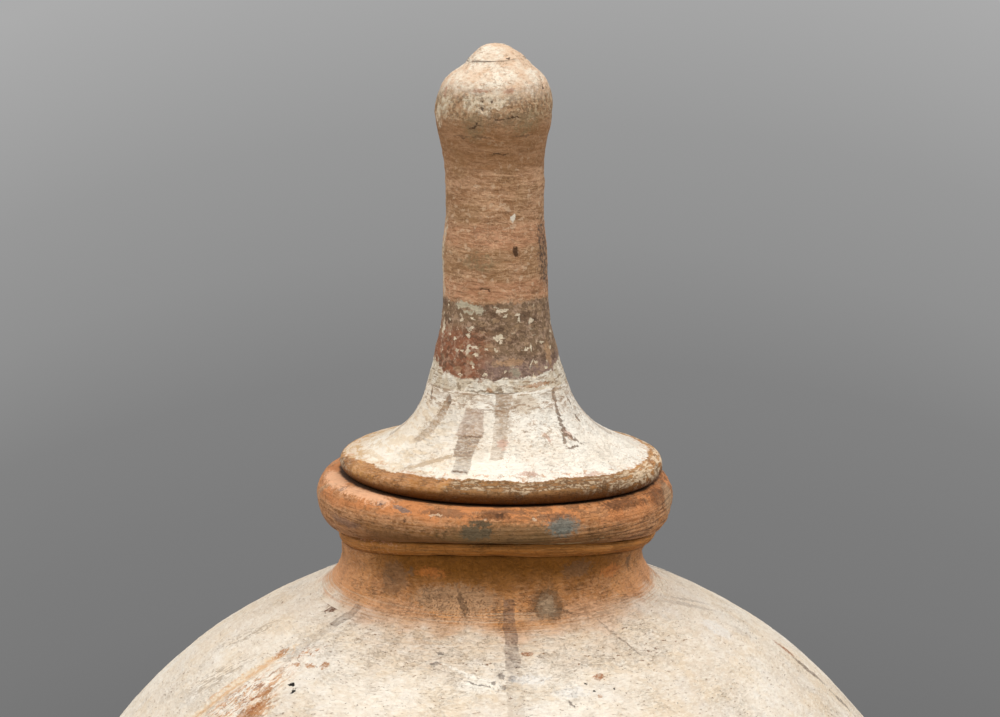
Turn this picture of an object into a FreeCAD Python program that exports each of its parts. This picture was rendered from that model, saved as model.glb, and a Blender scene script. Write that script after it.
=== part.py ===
import FreeCAD, Part
import os
import re
import Sketcher

# A lidded jar of painted terracotta. The frame stands on the foot: the origin is the middle of the
# resting face, +Z points up, and lengths are in millimetres.

# Driving dimensions, one group for each piece. A wall, width or overlap is measured outwards from the
# bore that it surrounds, so that the mouth, the rim and the lid follow one another. A drop is measured
# down from the top of its piece.
SIZES = {
    # Foot ring
    "foot_radius": "68",
    "foot_width": "14",
    "foot_height": "17",
    "foot_band_height": "5",
    "foot_rounding": "2.5",
    # Round body, thrown as two bowls that meet at the widest part
    "body_radius": "171.5",
    "body_wall": "8",
    "waist_radius": "62",
    "floor_thickness": "12",
    # Neck
    "mouth_radius": "43.5",
    "neck_foot_spread": "18",
    "neck_wall": "9",
    "neck_top_wall": "9.5",
    "neck_height": "21.5",
    "neck_waist_drop": "6.6",
    "foot_line_depth": "0.6",
    # Rolled rim, with its lower bead, groove and seat for the lid
    "rim_width": "18.5",
    "rim_height": "21",
    "rim_widest_drop": "9",
    "rim_bead_width": "12.8",
    "rim_bead_height": "2.6",
    "rim_groove_width": "12.3",
    "rim_groove_height": "5",
    "seat_width": "13",
    "mouth_rounding": "3",
    # Lid skirt, from the flange that sits on the rim to the foot of the stem
    "lid_seat_gap": "0.3",
    "flange_overlap": "12.5",
    "flange_tuck": "0.8",
    "flange_tip_height": "2.8",
    "flange_shoulder_inset": "2.5",
    "flange_thickness": "5.6",
    "skirt_height": "31",
    "skirt_ridge_height": "2.2",
    "skirt_ridge_swell": "0.7",
    # Locating ring under the flange
    "locating_clearance": "3",
    "locating_rest_gap": "1",
    "locating_wall": "5",
    "locating_depth": "12",
    "locating_rounding": "1.5",
    # Hollow stem
    "stem_foot_radius": "23.9",
    "stem_radius": "18.1",
    "stem_waist_radius": "16.9",
    "stem_wall": "7",
    "stem_height": "77",
    "stem_flare_height": "32",
    "stem_waist_drop": "13",
    # Knob at the top of the stem
    "knob_foot_radius": "17.3",
    "knob_radius": "20",
    "knob_shoulder_radius": "18.1",
    "knob_height": "34.5",
    "knob_widest_drop": "19",
    "knob_shoulder_drop": "7.5",
    "knob_top_wall": "8",
    # Plug that closes the knob
    "cap_radius": "10",
    "cap_crown_radius": "7.2",
    "cap_crown_height": "2.3",
    "cap_height": "5.1",
    "peg_radius": "6",
    "peg_slip": "0.3",
}

# Where a curve passes between its two ends, as shares of the way out from the axis and of the rise.
SHARES = {
    "foot_hollow_out_share": "0.3",
    "foot_hollow_rise_share": "0.5",
    "skirt_dip_out_share": "0.32",
    "skirt_dip_rise_share": "0.42",
    "hollow_dip_out_share": "0.55",
    "hollow_dip_rise_share": "0.31",
    "flare_out_share": "0.32",
    "flare_rise_share": "0.45",
    "knob_turn_out_share": "0.57",
    "knob_turn_rise_share": "0.53",
    "ridge_rise_share": "0.5",
}

# Sizes that follow from the driving ones. Radii first, then heights inside a piece, then the levels
# at which the pieces are stacked, and last the way that the lid has slid over in its loose fit.
DERIVED = {
    "inner_radius": "body_radius - body_wall",
    "foot_inner_radius": "foot_radius - foot_width",
    "foot_top_inner_radius": "waist_radius - foot_width",
    "neck_foot_radius": "mouth_radius + neck_foot_spread",
    "neck_waist_radius": "mouth_radius + neck_wall",
    "neck_top_radius": "mouth_radius + neck_top_wall",
    "rim_radius": "mouth_radius + rim_width",
    "rim_bead_radius": "mouth_radius + rim_bead_width",
    "rim_groove_radius": "mouth_radius + rim_groove_width",
    "seat_radius": "mouth_radius + seat_width",
    "flange_radius": "mouth_radius + flange_overlap",
    "flange_shoulder_radius": "flange_radius - flange_shoulder_inset",
    "locating_radius": "mouth_radius - locating_clearance",
    "locating_inner_radius": "locating_radius - locating_wall",
    "stem_bore_radius": "stem_waist_radius - stem_wall",
    "peg_hole_radius": "peg_radius + peg_slip",
    "lower_height": "sqrt(body_radius^2 - waist_radius^2)",
    "floor_drop": "lower_height - floor_thickness",
    "floor_radius": "sqrt(inner_radius^2 - floor_drop^2)",
    "upper_height": "sqrt(body_radius^2 - neck_foot_radius^2)",
    "upper_inner_height": "sqrt(inner_radius^2 - mouth_radius^2)",
    "neck_waist_height": "neck_height - neck_waist_drop",
    "rim_widest_height": "rim_height - rim_widest_drop",
    "skirt_ridge_foot": "skirt_height - skirt_ridge_height",
    "stem_waist_height": "stem_height - stem_waist_drop",
    "knob_widest_height": "knob_height - knob_widest_drop",
    "knob_shoulder_height": "knob_height - knob_shoulder_drop",
    "knob_roof_height": "knob_height - knob_top_wall",
    "equator_level": "foot_height + lower_height",
    "neck_level": "equator_level + upper_height",
    "rim_level": "neck_level + neck_height",
    "lid_level": "rim_level + rim_height + lid_seat_gap",
    "locating_level": "lid_level - locating_depth",
    "stem_level": "lid_level + skirt_height",
    "knob_level": "stem_level + stem_height",
    "cap_level": "knob_level + knob_roof_height",
    "lid_shift": "locating_clearance - locating_rest_gap",
}

FULL_TURN = 360
AROUND_AXIS = "arc centred on the upright axis"
ON_AXIS = "0"
AT_FOOT = "0"

# A point on an edge counts as being at a wanted radius or height within this share of it.
MATCH_SHARE = 0.000001

document = FreeCAD.newDocument("lidded_jar")
sheet = document.addObject("Spreadsheet::Sheet", "Sizes")


def fill_sheet():
    """Writes each driving number into its own cell, with its name beside it and as its alias."""
    numbers = {**SIZES, **SHARES}
    for row, (name, number) in enumerate(numbers.items(), start=1):
        sheet.set(f"A{row}", name)
        sheet.set(f"B{row}", number)
        sheet.setAlias(f"B{row}", name)
    document.recompute()


def bound(expression):
    """Spells a size out in cells of the sheet: derived names are opened until only cells are left."""
    def spell(match):
        name = match.group()
        if name in DERIVED:
            return "(" + bound(DERIVED[name]) + ")"
        if name in SIZES or name in SHARES:
            return "Sizes." + name
        return name
    return re.sub(r"[a-z_]+", spell, expression)


def value(expression):
    """The number that an expression stands for at the sheet's present values."""
    return float(sheet.evalExpression(bound(expression)))


def between(low, high, share):
    """A place that lies a share of the way from one size to another."""
    return f"{low} + ({high} - {low}) * {share}"


def origin_plane(body, role):
    """One of the planes of the body's own origin."""
    return next(item for item in body.Origin.OriginFeatures if item.Role == role)


def fix_point(sketch, geometry, place, corner):
    """Ties one point of the sketch to its radius and its height, or to the axis where these are zero."""
    for direction, axis, size in (("X", -2, corner[0]), ("Y", -1, corner[1])):
        if size == ON_AXIS:
            sketch.addConstraint(Sketcher.Constraint("PointOnObject", geometry, place, axis))
            continue
        rule = Sketcher.Constraint("Distance" + direction, -1, 1, geometry, place, value(size))
        index = sketch.addConstraint(rule)
        name = f"{direction.lower()}_{geometry}_{place}"
        sketch.renameConstraint(index, name)
        sketch.setExpression("Constraints." + name, bound(size))


def point(corner):
    """The corner as a point in the plane of its sketch."""
    return FreeCAD.Vector(value(corner[0]), value(corner[1]), 0)


def arc_around_axis(first, last):
    """An arc from the first to the last corner whose centre is on the upright axis."""
    start = point(first)
    end = point(last)
    centre_height = (end.Length**2 - start.Length**2) / (2 * (end.y - start.y))
    centre = FreeCAD.Vector(0, centre_height, 0)
    middle = (start + end) / 2 - centre
    middle.Length = (start - centre).Length
    return Part.Arc(start, centre + middle, end)


def draw_edge(sketch, corner, following):
    """Draws the edge from one corner to the next: a line, or the arc that the corner asks for."""
    bend = corner[2] if len(corner) > 2 else None
    if bend is None:
        return sketch.addGeometry(Part.LineSegment(point(corner), point(following)))
    if bend == AROUND_AXIS:
        edge = sketch.addGeometry(arc_around_axis(corner, following))
        sketch.addConstraint(Sketcher.Constraint("PointOnObject", edge, 3, -2))
        return edge
    edge = sketch.addGeometry(Part.Arc(point(corner), point(bend), point(following)))
    waypoint = sketch.addGeometry(Part.Point(point(bend)), True)
    fix_point(sketch, waypoint, 1, bend)
    sketch.addConstraint(Sketcher.Constraint("PointOnObject", waypoint, 1, edge))
    return edge


def end_places(sketch, edge, corner):
    """Which ends of an edge are its first and last: an arc always runs anticlockwise in its sketch."""
    begin = sketch.getPoint(edge, 1)
    if begin.distanceToPoint(point(corner)) <= sketch.getPoint(edge, 2).distanceToPoint(point(corner)):
        return 1, 2
    return 2, 1


def draw_outline(sketch, outline):
    """Draws a closed outline. Each corner is its radius, its height and, where the edge that follows
    is round, the point that the edge passes through or AROUND_AXIS."""
    following = outline[1:] + outline[:1]
    edges = [draw_edge(sketch, corner, after) for corner, after in zip(outline, following)]
    ends = [end_places(sketch, edge, corner) for edge, corner in zip(edges, outline)]
    for index, (edge, corner) in enumerate(zip(edges, outline)):
        last = edges[index - 1]
        sketch.addConstraint(Sketcher.Constraint("Coincident", last, ends[index - 1][1], edge, ends[index][0]))
        fix_point(sketch, edge, ends[index][0], corner)


def turned_piece(label, outline, level, shift=None):
    """A clay piece thrown on the wheel: its outline, drawn from its own foot and turned about the
    upright axis, set at its level in the jar."""
    body = document.addObject("PartDesign::Body", label)
    body.Label = label
    sketch = body.newObject("Sketcher::SketchObject", label + "_outline")
    sketch.AttachmentSupport = [(origin_plane(body, "XZ_Plane"), "")]
    sketch.MapMode = "FlatFace"
    draw_outline(sketch, outline)
    turn = body.newObject("PartDesign::Revolution", label + "_turned")
    turn.Profile = sketch
    turn.ReferenceAxis = (sketch, ["V_Axis"])
    turn.Angle = FULL_TURN
    sketch.Visibility = False
    body.setExpression("Placement.Base.z", bound(level))
    if shift:
        body.setExpression("Placement.Base.x", bound(shift))
    document.recompute()
    return body


def round_edges(body, circles, rounding):
    """Rounds the edges of a turned piece that run round it at the given radii and heights."""
    base = body.Tip
    chosen = []
    for radius, height in circles:
        wanted = (value(radius), value(height))
        slack = wanted[0] * MATCH_SHARE
        for number, edge in enumerate(base.Shape.Edges, start=1):
            start = edge.Vertexes[0].Point
            out = abs((start.x**2 + start.y**2) ** 0.5 - wanted[0])
            if out < slack and abs(start.z - wanted[1]) < slack and edge.BoundBox.ZLength < slack:
                chosen.append(f"Edge{number}")
    fillet = body.newObject("PartDesign::Fillet", body.Label + "_rounding")
    fillet.Base = (base, chosen)
    fillet.setExpression("Radius", bound(rounding))
    body.Tip = fillet
    document.recompute()


def incised_line(body, radius, height, depth):
    """A line scratched round a turned piece: a half-round groove as deep as its own radius."""
    sketch = body.newObject("Sketcher::SketchObject", body.Label + "_line")
    sketch.AttachmentSupport = [(origin_plane(body, "XZ_Plane"), "")]
    sketch.MapMode = "FlatFace"
    upright = FreeCAD.Vector(0, 0, 1)
    circle = sketch.addGeometry(Part.Circle(point((radius, height)), upright, value(depth)))
    fix_point(sketch, circle, 3, (radius, height))
    index = sketch.addConstraint(Sketcher.Constraint("Radius", circle, value(depth)))
    sketch.renameConstraint(index, "line_depth")
    sketch.setExpression("Constraints.line_depth", bound(depth))
    whole = body.Tip.Shape.Volume
    groove = body.newObject("PartDesign::Groove", body.Label + "_incised")
    groove.Profile = sketch
    groove.ReferenceAxis = (sketch, ["V_Axis"])
    groove.Angle = FULL_TURN
    sketch.Visibility = False
    body.Tip = groove
    document.recompute()
    if groove.Shape.Volume >= whole:
        raise RuntimeError("the line round " + body.Label + " cuts nothing")


def foot_ring():
    """The low ring that the jar stands on, splayed a little and hollowed at its side."""
    hollow = (
        between("waist_radius", "foot_radius", "foot_hollow_out_share"),
        between("foot_band_height", "foot_height", "foot_hollow_rise_share"),
    )
    outline = [
        ("foot_inner_radius", AT_FOOT),
        ("foot_radius", AT_FOOT),
        ("foot_radius", "foot_band_height", hollow),
        ("waist_radius", "foot_height"),
        ("foot_top_inner_radius", "foot_height"),
    ]
    ring = turned_piece("foot_ring", outline, AT_FOOT)
    round_edges(ring, [("foot_inner_radius", AT_FOOT), ("foot_radius", AT_FOOT)], "foot_rounding")
    return ring


def lower_body():
    """The lower bowl: a ball-shaped wall that is cut off flat at the foot and closed by its floor."""
    outline = [
        (ON_AXIS, AT_FOOT),
        ("waist_radius", AT_FOOT, AROUND_AXIS),
        ("body_radius", "lower_height"),
        ("inner_radius", "lower_height", AROUND_AXIS),
        ("floor_radius", "floor_thickness"),
        (ON_AXIS, "floor_thickness"),
    ]
    return turned_piece("lower_body", outline, "foot_height")


def upper_body():
    """The upper bowl, turned over: the same ball, open where the neck stands on it."""
    outline = [
        ("inner_radius", AT_FOOT),
        ("body_radius", AT_FOOT, AROUND_AXIS),
        ("neck_foot_radius", "upper_height"),
        ("mouth_radius", "upper_height"),
        ("mouth_radius", "upper_inner_height", AROUND_AXIS),
    ]
    return turned_piece("upper_body", outline, "equator_level")


def neck():
    """The collar, drawn in to its waist, with a line scratched round its foot."""
    outline = [
        ("mouth_radius", AT_FOOT),
        ("neck_foot_radius", AT_FOOT, ("neck_waist_radius", "neck_waist_height")),
        ("neck_top_radius", "neck_height"),
        ("mouth_radius", "neck_height"),
    ]
    collar = turned_piece("neck", outline, "neck_level")
    incised_line(collar, "neck_foot_radius", "foot_line_depth", "foot_line_depth")
    return collar


def rim():
    """The thick rolled band: a low bead, a groove, the wide roll and the flat seat for the lid."""
    outline = [
        ("mouth_radius", AT_FOOT),
        ("neck_top_radius", AT_FOOT, ("rim_bead_radius", "rim_bead_height")),
        ("rim_groove_radius", "rim_groove_height", ("rim_radius", "rim_widest_height")),
        ("seat_radius", "rim_height"),
        ("mouth_radius", "rim_height"),
    ]
    band = turned_piece("rim", outline, "rim_level")
    round_edges(band, [("mouth_radius", "rim_height")], "mouth_rounding")
    return band


def lid_skirt():
    """The trumpet-shaped skirt: a rounded flange, a hollow sweep up to the ridge at the stem's foot,
    and the hollow underneath that leads into the stem."""
    ridge_side = (
        "stem_foot_radius + skirt_ridge_swell",
        between("skirt_ridge_foot", "skirt_height", "ridge_rise_share"),
    )
    dip = (
        between("stem_foot_radius", "flange_shoulder_radius", "skirt_dip_out_share"),
        between("flange_thickness", "skirt_ridge_foot", "skirt_dip_rise_share"),
    )
    under_dip = (
        between("stem_bore_radius", "locating_inner_radius", "hollow_dip_out_share"),
        between(AT_FOOT, "skirt_height", "hollow_dip_rise_share"),
    )
    outline = [
        ("locating_inner_radius", AT_FOOT),
        ("flange_radius - flange_tuck", AT_FOOT, ("flange_radius", "flange_tip_height")),
        ("flange_shoulder_radius", "flange_thickness", dip),
        ("stem_foot_radius", "skirt_ridge_foot", ridge_side),
        ("stem_foot_radius", "skirt_height"),
        ("stem_bore_radius", "skirt_height", under_dip),
    ]
    return turned_piece("lid_skirt", outline, "lid_level", "lid_shift")


def lid_locating_ring():
    """The ring that hangs from the flange into the neck, loose enough for the lid to slide over."""
    outline = [
        ("locating_inner_radius", AT_FOOT),
        ("locating_radius", AT_FOOT),
        ("locating_radius", "locating_depth"),
        ("locating_inner_radius", "locating_depth"),
    ]
    ring = turned_piece("lid_locating_ring", outline, "locating_level", "lid_shift")
    lower_edges = [("locating_inner_radius", AT_FOOT), ("locating_radius", AT_FOOT)]
    round_edges(ring, lower_edges, "locating_rounding")
    return ring


def lid_stem():
    """The hollow grip: flared at its foot, then a long tube drawn in to its waist below the knob."""
    flare = (
        between("stem_radius", "stem_foot_radius", "flare_out_share"),
        between(AT_FOOT, "stem_flare_height", "flare_rise_share"),
    )
    outline = [
        ("stem_bore_radius", AT_FOOT),
        ("stem_foot_radius", AT_FOOT, flare),
        ("stem_radius", "stem_flare_height"),
        ("stem_waist_radius", "stem_waist_height"),
        ("knob_foot_radius", "stem_height"),
        ("stem_bore_radius", "stem_height"),
    ]
    return turned_piece("lid_stem", outline, "stem_level", "lid_shift")


def lid_knob():
    """The swollen top of the grip, with a round shoulder and the hole that the plug closes."""
    shoulder = (
        between("cap_radius", "knob_shoulder_radius", "knob_turn_out_share"),
        between("knob_shoulder_height", "knob_height", "knob_turn_rise_share"),
    )
    outline = [
        ("stem_bore_radius", AT_FOOT),
        ("knob_foot_radius", AT_FOOT, ("knob_radius", "knob_widest_height")),
        ("knob_shoulder_radius", "knob_shoulder_height", shoulder),
        ("cap_radius", "knob_height"),
        ("peg_hole_radius", "knob_height"),
        ("peg_hole_radius", "knob_roof_height"),
        ("stem_bore_radius", "knob_roof_height"),
    ]
    return turned_piece("lid_knob", outline, "knob_level", "lid_shift")


def knob_cap():
    """The plug that closes the knob: a peg in the hole, a sloping side and a small dome on top."""
    outline = [
        (ON_AXIS, AT_FOOT),
        ("peg_radius", AT_FOOT),
        ("peg_radius", "knob_top_wall"),
        ("cap_radius", "knob_top_wall"),
        ("cap_crown_radius", "knob_top_wall + cap_crown_height", AROUND_AXIS),
        (ON_AXIS, "knob_top_wall + cap_height"),
    ]
    return turned_piece("knob_cap", outline, "cap_level", "lid_shift")


def check(pieces):
    """Stops if any feature failed, or if a piece has no sound shape."""
    for item in document.Objects:
        if "Invalid" in item.State or "Error" in item.State:
            raise RuntimeError(item.Name + " could not be worked out")
    for piece in pieces:
        if piece.Shape.isNull() or not piece.Shape.isValid():
            raise RuntimeError(piece.Label + " has no sound shape")


fill_sheet()
PIECES = [
    foot_ring(),
    lower_body(),
    upper_body(),
    neck(),
    rim(),
    lid_skirt(),
    lid_locating_ring(),
    lid_stem(),
    lid_knob(),
    knob_cap(),
]
document.recompute()
check(PIECES)
os.makedirs("parts", exist_ok=True)
for piece in PIECES:
    piece.Shape.exportStep(f"parts/{piece.Label}.step")
    box = piece.Shape.BoundBox
    print(f"{piece.Label}: {piece.Shape.Volume:.0f} mm3, height {box.ZMin:.1f} to {box.ZMax:.1f} mm")
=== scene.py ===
import math
from statistics import NormalDist
import bpy
import numpy as np
from mathutils import Matrix, Vector


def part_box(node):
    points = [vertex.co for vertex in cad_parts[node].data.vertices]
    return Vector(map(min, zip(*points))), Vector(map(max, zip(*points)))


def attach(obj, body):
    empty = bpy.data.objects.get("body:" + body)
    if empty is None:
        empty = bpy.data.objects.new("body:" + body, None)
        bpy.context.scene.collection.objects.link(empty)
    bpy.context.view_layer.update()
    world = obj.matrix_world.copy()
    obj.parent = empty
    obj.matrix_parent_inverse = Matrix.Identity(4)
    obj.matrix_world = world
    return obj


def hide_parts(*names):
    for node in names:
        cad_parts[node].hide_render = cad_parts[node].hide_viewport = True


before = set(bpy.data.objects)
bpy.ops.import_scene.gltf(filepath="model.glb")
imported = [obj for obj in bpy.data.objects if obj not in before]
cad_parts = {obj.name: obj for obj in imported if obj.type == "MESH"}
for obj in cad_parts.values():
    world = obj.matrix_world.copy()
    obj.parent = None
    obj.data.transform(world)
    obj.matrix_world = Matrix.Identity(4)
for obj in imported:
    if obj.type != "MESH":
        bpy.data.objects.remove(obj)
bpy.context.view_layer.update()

# The jar's surfaces are worked out in millimetres over the foot plane and handed over in metres.
# An azimuth is counted in degrees from the front, -Y, and grows towards +X.
MM = 0.001
DEGREES = 180 / math.pi
TURNED_HEIGHT = "turned_height"
FOOT, TOP = 0, 1
RELIEF, LEAN = 4, 5


def level(node, end):
    """Height of a piece's foot or top over the foot plane, in millimetres."""
    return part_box(node)[end][2] / MM


def half_width(node):
    """Largest radius of a piece, in millimetres."""
    low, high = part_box(node)
    return (high[0] - low[0]) / 2 / MM


BODY_RADIUS = half_width("upper_body")
BODY_CENTRE = level("upper_body", FOOT)
BODY_FOOT = level("lower_body", FOOT)
WAIST_RADIUS = math.sqrt(BODY_RADIUS**2 - (BODY_CENTRE - BODY_FOOT) ** 2)
NECK_FOOT = level("neck", FOOT)
NECK_FOOT_RADIUS = half_width("neck")
RIM_FOOT = level("rim", FOOT)
SEAT = level("rim", TOP)
LID_FOOT = level("lid_skirt", FOOT)
STEM_FOOT = level("lid_stem", FOOT)
KNOB_FOOT = level("lid_knob", FOOT)
KNOB_TOP = level("lid_knob", TOP)
PEG_FOOT = level("knob_cap", FOOT)
RING_FOOT = level("lid_locating_ring", FOOT)
RING_RADIUS = half_width("lid_locating_ring")
LID_AXIS = sum(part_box("lid_locating_ring")[end][0] for end in (FOOT, TOP)) / 2 / MM

# Sizes inside the shells, in millimetres, as on the solids.
MOUTH_RADIUS = 43.5
MOUTH_ROUNDING = 3.0
SEAT_INNER = MOUTH_RADIUS + MOUTH_ROUNDING
BODY_WALL = 8.0
FLOOR_THICKNESS = 12.0
FOOT_WIDTH = 14.0
FOOT_INNER_TOP = 48.0
RING_WALL = 5.0
RING_ROUNDING = 1.5
STEM_BORE = 9.9
PEG_RADIUS = 6.0
PEG_HOLE_RADIUS = 6.3

# Columns round the pieces, the spacing of the rows of their walls in millimetres, the rows over a
# rounded edge, and the angle past which an edge shows sharp.
WIDE_COLUMNS, SLIM_COLUMNS = 600, 360
BODY_STEP, SHOULDER_STEP, SHOULDER_FROM = 2.6, 1.1, 290.0
COLLAR_STEP, SKIRT_STEP, GRIP_STEP, CAP_STEP, FOOT_STEP = 0.3, 0.5, 0.5, 0.3, 0.6
SEAT_STEP, EDGE_STEP, HOLLOW_STEP, INSIDE_STEP = 0.8, 1.0, 1.5, 2.0
BORE_STEP, FACE_STEP, INNER_STEP = 3.0, 4.0, 7.0
MOUTH_ROWS, RING_ROWS = 8, 6
SHARP_ANGLE = 50

# Where the unevenness dies out: within so many millimetres of the neck's foot and of the flange's lower
# edge, and on top of the roll, where it is gone at the first radius and whole at the second.
SEAM_FADE, FLANGE_FADE = 4.0, 2.4
CALM_BELOW_SEAT, CALM_ROUND = 4.0, (55.0, 60.0)

# Outlines of the outer walls, (radius, height over the piece's own foot), from foot to top.
NECK_OUTLINE = [
    (61.5, 0), (57.4, 3), (54.6, 6.6), (53, 10.6), (52.5, 14.9), (52.6, 18.4), (52.9, 20.9), (52.6, 21.5),
]
BEAD_OUTLINE = [(52.6, 0), (53.8, 0.6), (55, 2), (55.4, 3.4), (55.1, 4.4), (54, 5)]
ROLL_OUTLINE = [
    (54, 5), (56.6, 5.5), (58.2, 6.3), (60.2, 7.9), (61.6, 10.2), (62, 12.6), (61.5, 15.2), (60.3, 17.6),
    (58.6, 19.7), (56.4, 20.8), (54, 21),
]
FLANGE_OUTLINE = [
    (52.8, 0), (54.4, 0.4), (55.5, 1.4), (56, 3), (55.5, 4.6), (53.8, 5.5), (50.04, 6.3), (46.25, 7.4),
    (43.37, 8.5), (40.3, 9.9), (36.82, 11.9), (33.42, 14.5), (30.69, 17.3), (28.33, 20.6), (26.2, 24.4),
    (24.9, 28), (24.4, 29.6), (23.9, 31),
]
GRIP_OUTLINE = [
    (23.9, 0), (23.3, 1.9), (22, 5.7), (20.7, 11.7), (19.45, 17.7), (18.45, 24.7), (18.1, 31.7), (18, 39.7),
    (17.85, 46.7), (17.15, 54.7), (16.9, 62.7), (16.97, 69.7), (17.3, 77), (18.4, 83.7), (19.6, 89.7),
    (20.1, 94), (19.8, 97.5), (18.9, 101), (17.7, 103.8), (16.1, 105.8), (14.2, 107.5), (12.1, 109.2),
    (10.5, 110.6), (9.8, 111.5),
]
CAP_OUTLINE = [(9.8, 0), (9, 0.8), (8.2, 1.5), (7.2, 2.4), (5.8, 3.4), (4.2, 4.3), (2.2, 4.9), (0, 5.1)]
FOOT_OUTLINE = [(66, 0), (67.6, 0.9), (68, 2.8), (67.8, 5), (65.6, 8.4), (63.9, 12), (62, 17)]
HOLLOW_OUTLINE = [(STEM_BORE, 31.0), (13.0, 19.5), (21.0, 8.0), (RING_RADIUS - RING_WALL, 0)]

# Leaning centre lines: (height, how far the circle there has slipped along X).
JAR_LEAN = [(NECK_FOOT, 0.0), (NECK_FOOT + 15, 0.4), (RIM_FOOT, 1.0), (SEAT, 1.2)]
LID_LEAN = [
    (LID_FOOT, 3.5), (LID_FOOT + 9, 3.2), (STEM_FOOT, 1.9), (STEM_FOOT + 40, 1.4),
    (KNOB_FOOT + 17, 0.8), (KNOB_TOP - 2, 1.5), (KNOB_TOP + 8, 1.3),
]

# Slopes of the seat and of the cap's seam. Sags of the flange and the seat in front, at the sides, and at
# the flange's lower edge. The band of the seat over which they grow from the bore outwards, and where the
# last of them comes in: on the seat by the radius, on the flange by the height.
SEAT_SLOPE, CAP_SLOPE = math.tan(math.radians(0.5)), math.tan(math.radians(4.5))
FRONT_SAG, SIDE_SAG, EDGE_SAG = 0.8, 0.6, 1.2
SEAT_BAND = 8.5
SAG_ROUND = (60.5, 56.8)
SAG_UP = (LID_FOOT + 4.5, LID_FOOT + 1.5)
CAP_SEAM_REACH = 3.5

# The creases under the roll: their mean height and their waves, one and two to a turn, the heights over
# the rim's foot where creases and tilt come in and where the creases die out, and the roll's own sag.
CREASE_WAVES = (-1.9, 1.85, 2.75)
CREASES_IN, CREASES_OUT, TILT_IN = (-11, 0), (5, 12), (3, 12)
ROLL_SAG, ROLL_SAG_AT, ROLL_SAG_REACH = 1.5, 4.0, 4.5

# Unevenness of each group of walls, in millimetres: how wide and how high its lumps are, and how deep
# the marks of the wheel and the grain. Then how wide those two are.
WALLS = {
    "body": (34.0, 0.45, 0.09, 0.05),
    "collar": (17.0, 0.30, 0.10, 0.05),
    "rim": (17.0, 0.34, 0.16, 0.07),
    "skirt": (15.0, 0.30, 0.08, 0.05),
    "grip": (10.0, 0.34, 0.09, 0.06),
    "foot": (20.0, 0.30, 0.10, 0.05),
}
LUMP_SEED, WHEEL_SEED, GRAIN_SEED = 11, 23, 37
WHEEL_ROUND, WHEEL_SIZE, GRAIN_SIZE = 30.0, 1.3, 2.4

# Grooves round the right of the rim: spacing, depth, and where they start and end.
GROOVE_SPACING, GROOVE_DEPTH = 1.5, 0.18
GROOVES_ROUND = (10.0, 100.0)
GROOVES_UP = (RIM_FOOT + 6.5, RIM_FOOT + 15.0)
GROOVES_FADE = 12

# A dent ends at the first of these shares of its half sizes and is whole inside the second. How far a
# dent or a mark reaches out of the side, by the larger of its half sizes and of the least one.
DENT_EDGE = (1.35, 0.55)
MARK_REACH, LEAST_MARK = 1.5, 3.0

# Dents: azimuth, height, half size across, half size along, turn and depth. A depth below zero
# stands proud.
DENTS = {
    "body": [
        (-59.4, 316, 2.4, 21, -16, 0.4), (-48.9, 312.6, 2.6, 7, -20, 0.4), (91.3, 313.5, 1.8, 4.4, 0, 0.5),
        (89.8, 307.1, 1.6, 6.8, 0, 0.6), (-5, 327, 0.9, 9, 62, 0.2), (-63.5, 336.3, 1.6, 2.6, -30, 0.4)],
    "collar": [],
    "rim": [
        (22.5, 373.4, 6.8, 4.2, 0, 0.12), (14, 376.2, 1.8, 0.8, 0, 0.3), (-19, 377, 3, 0.8, 0, 0.3),
        (-31.5, 377.4, 1.4, 4, 80, 0.3), (-62.5, 378.4, 2.4, 1.4, 0, 0.3), (60, 377, 3, 1, 70, 0.3)],
    "skirt": [(-60, 384, 2, 5, 80, 0.3), (35, 383, 2, 6, 85, 0.3), (75, 384, 2, 4, 80, 0.4)],
    "grip": [
        (24, 457.8, 1.1, 2, 12, 0.8), (-12, 445.3, 2.4, 0.6, 0, 0.5), (22.1, 470, 1, 1.3, 0, -0.25),
        (66, 514.6, 0.5, 3.4, -30, 0.5), (27, 523.4, 0.9, 0.6, 0, 0.5), (-11, 507, 0.9, 1.4, 20, 0.4),
        (-2.5, 509.5, 0.8, 0.8, 0, 0.4), (0, 508.5, 5, 3.2, 0, 0.25), (76, 456, 3.6, 12, 0, 0.4),
        (-80, 506, 1.6, 2.4, 0, 0.5), (-80, 496, 1.4, 2.4, 0, 0.4)],
    "foot": [],
}


def smooth_step(low, high, place):
    """0 at low, 1 at high and an even S-curve between: 3t squared less 2t cubed."""
    t = np.clip((place - low) / (high - low), 0, 1)
    return t * t * (3 - 2 * t)


def seat_share(radius):
    """0 at the bore, 1 from the seat's band outwards, with an S-curve between: how far the seat, and the
    lid's underside on it, take part in the tilt."""
    return smooth_step(MOUTH_RADIUS, MOUTH_RADIUS + SEAT_BAND, radius)


def wall(radii, heights, share):
    """Rows of a section: radius, height, the way out of the clay (to the right of the way along it) and
    the shares of the unevenness and of the lean that they take, the same ones at first."""
    rise, run = np.gradient(heights), np.gradient(radii)
    length = np.hypot(rise, run)
    share = np.full(len(radii), 1.0) * share
    return np.column_stack([radii, heights, rise / length, -run / length, share, share])


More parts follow.
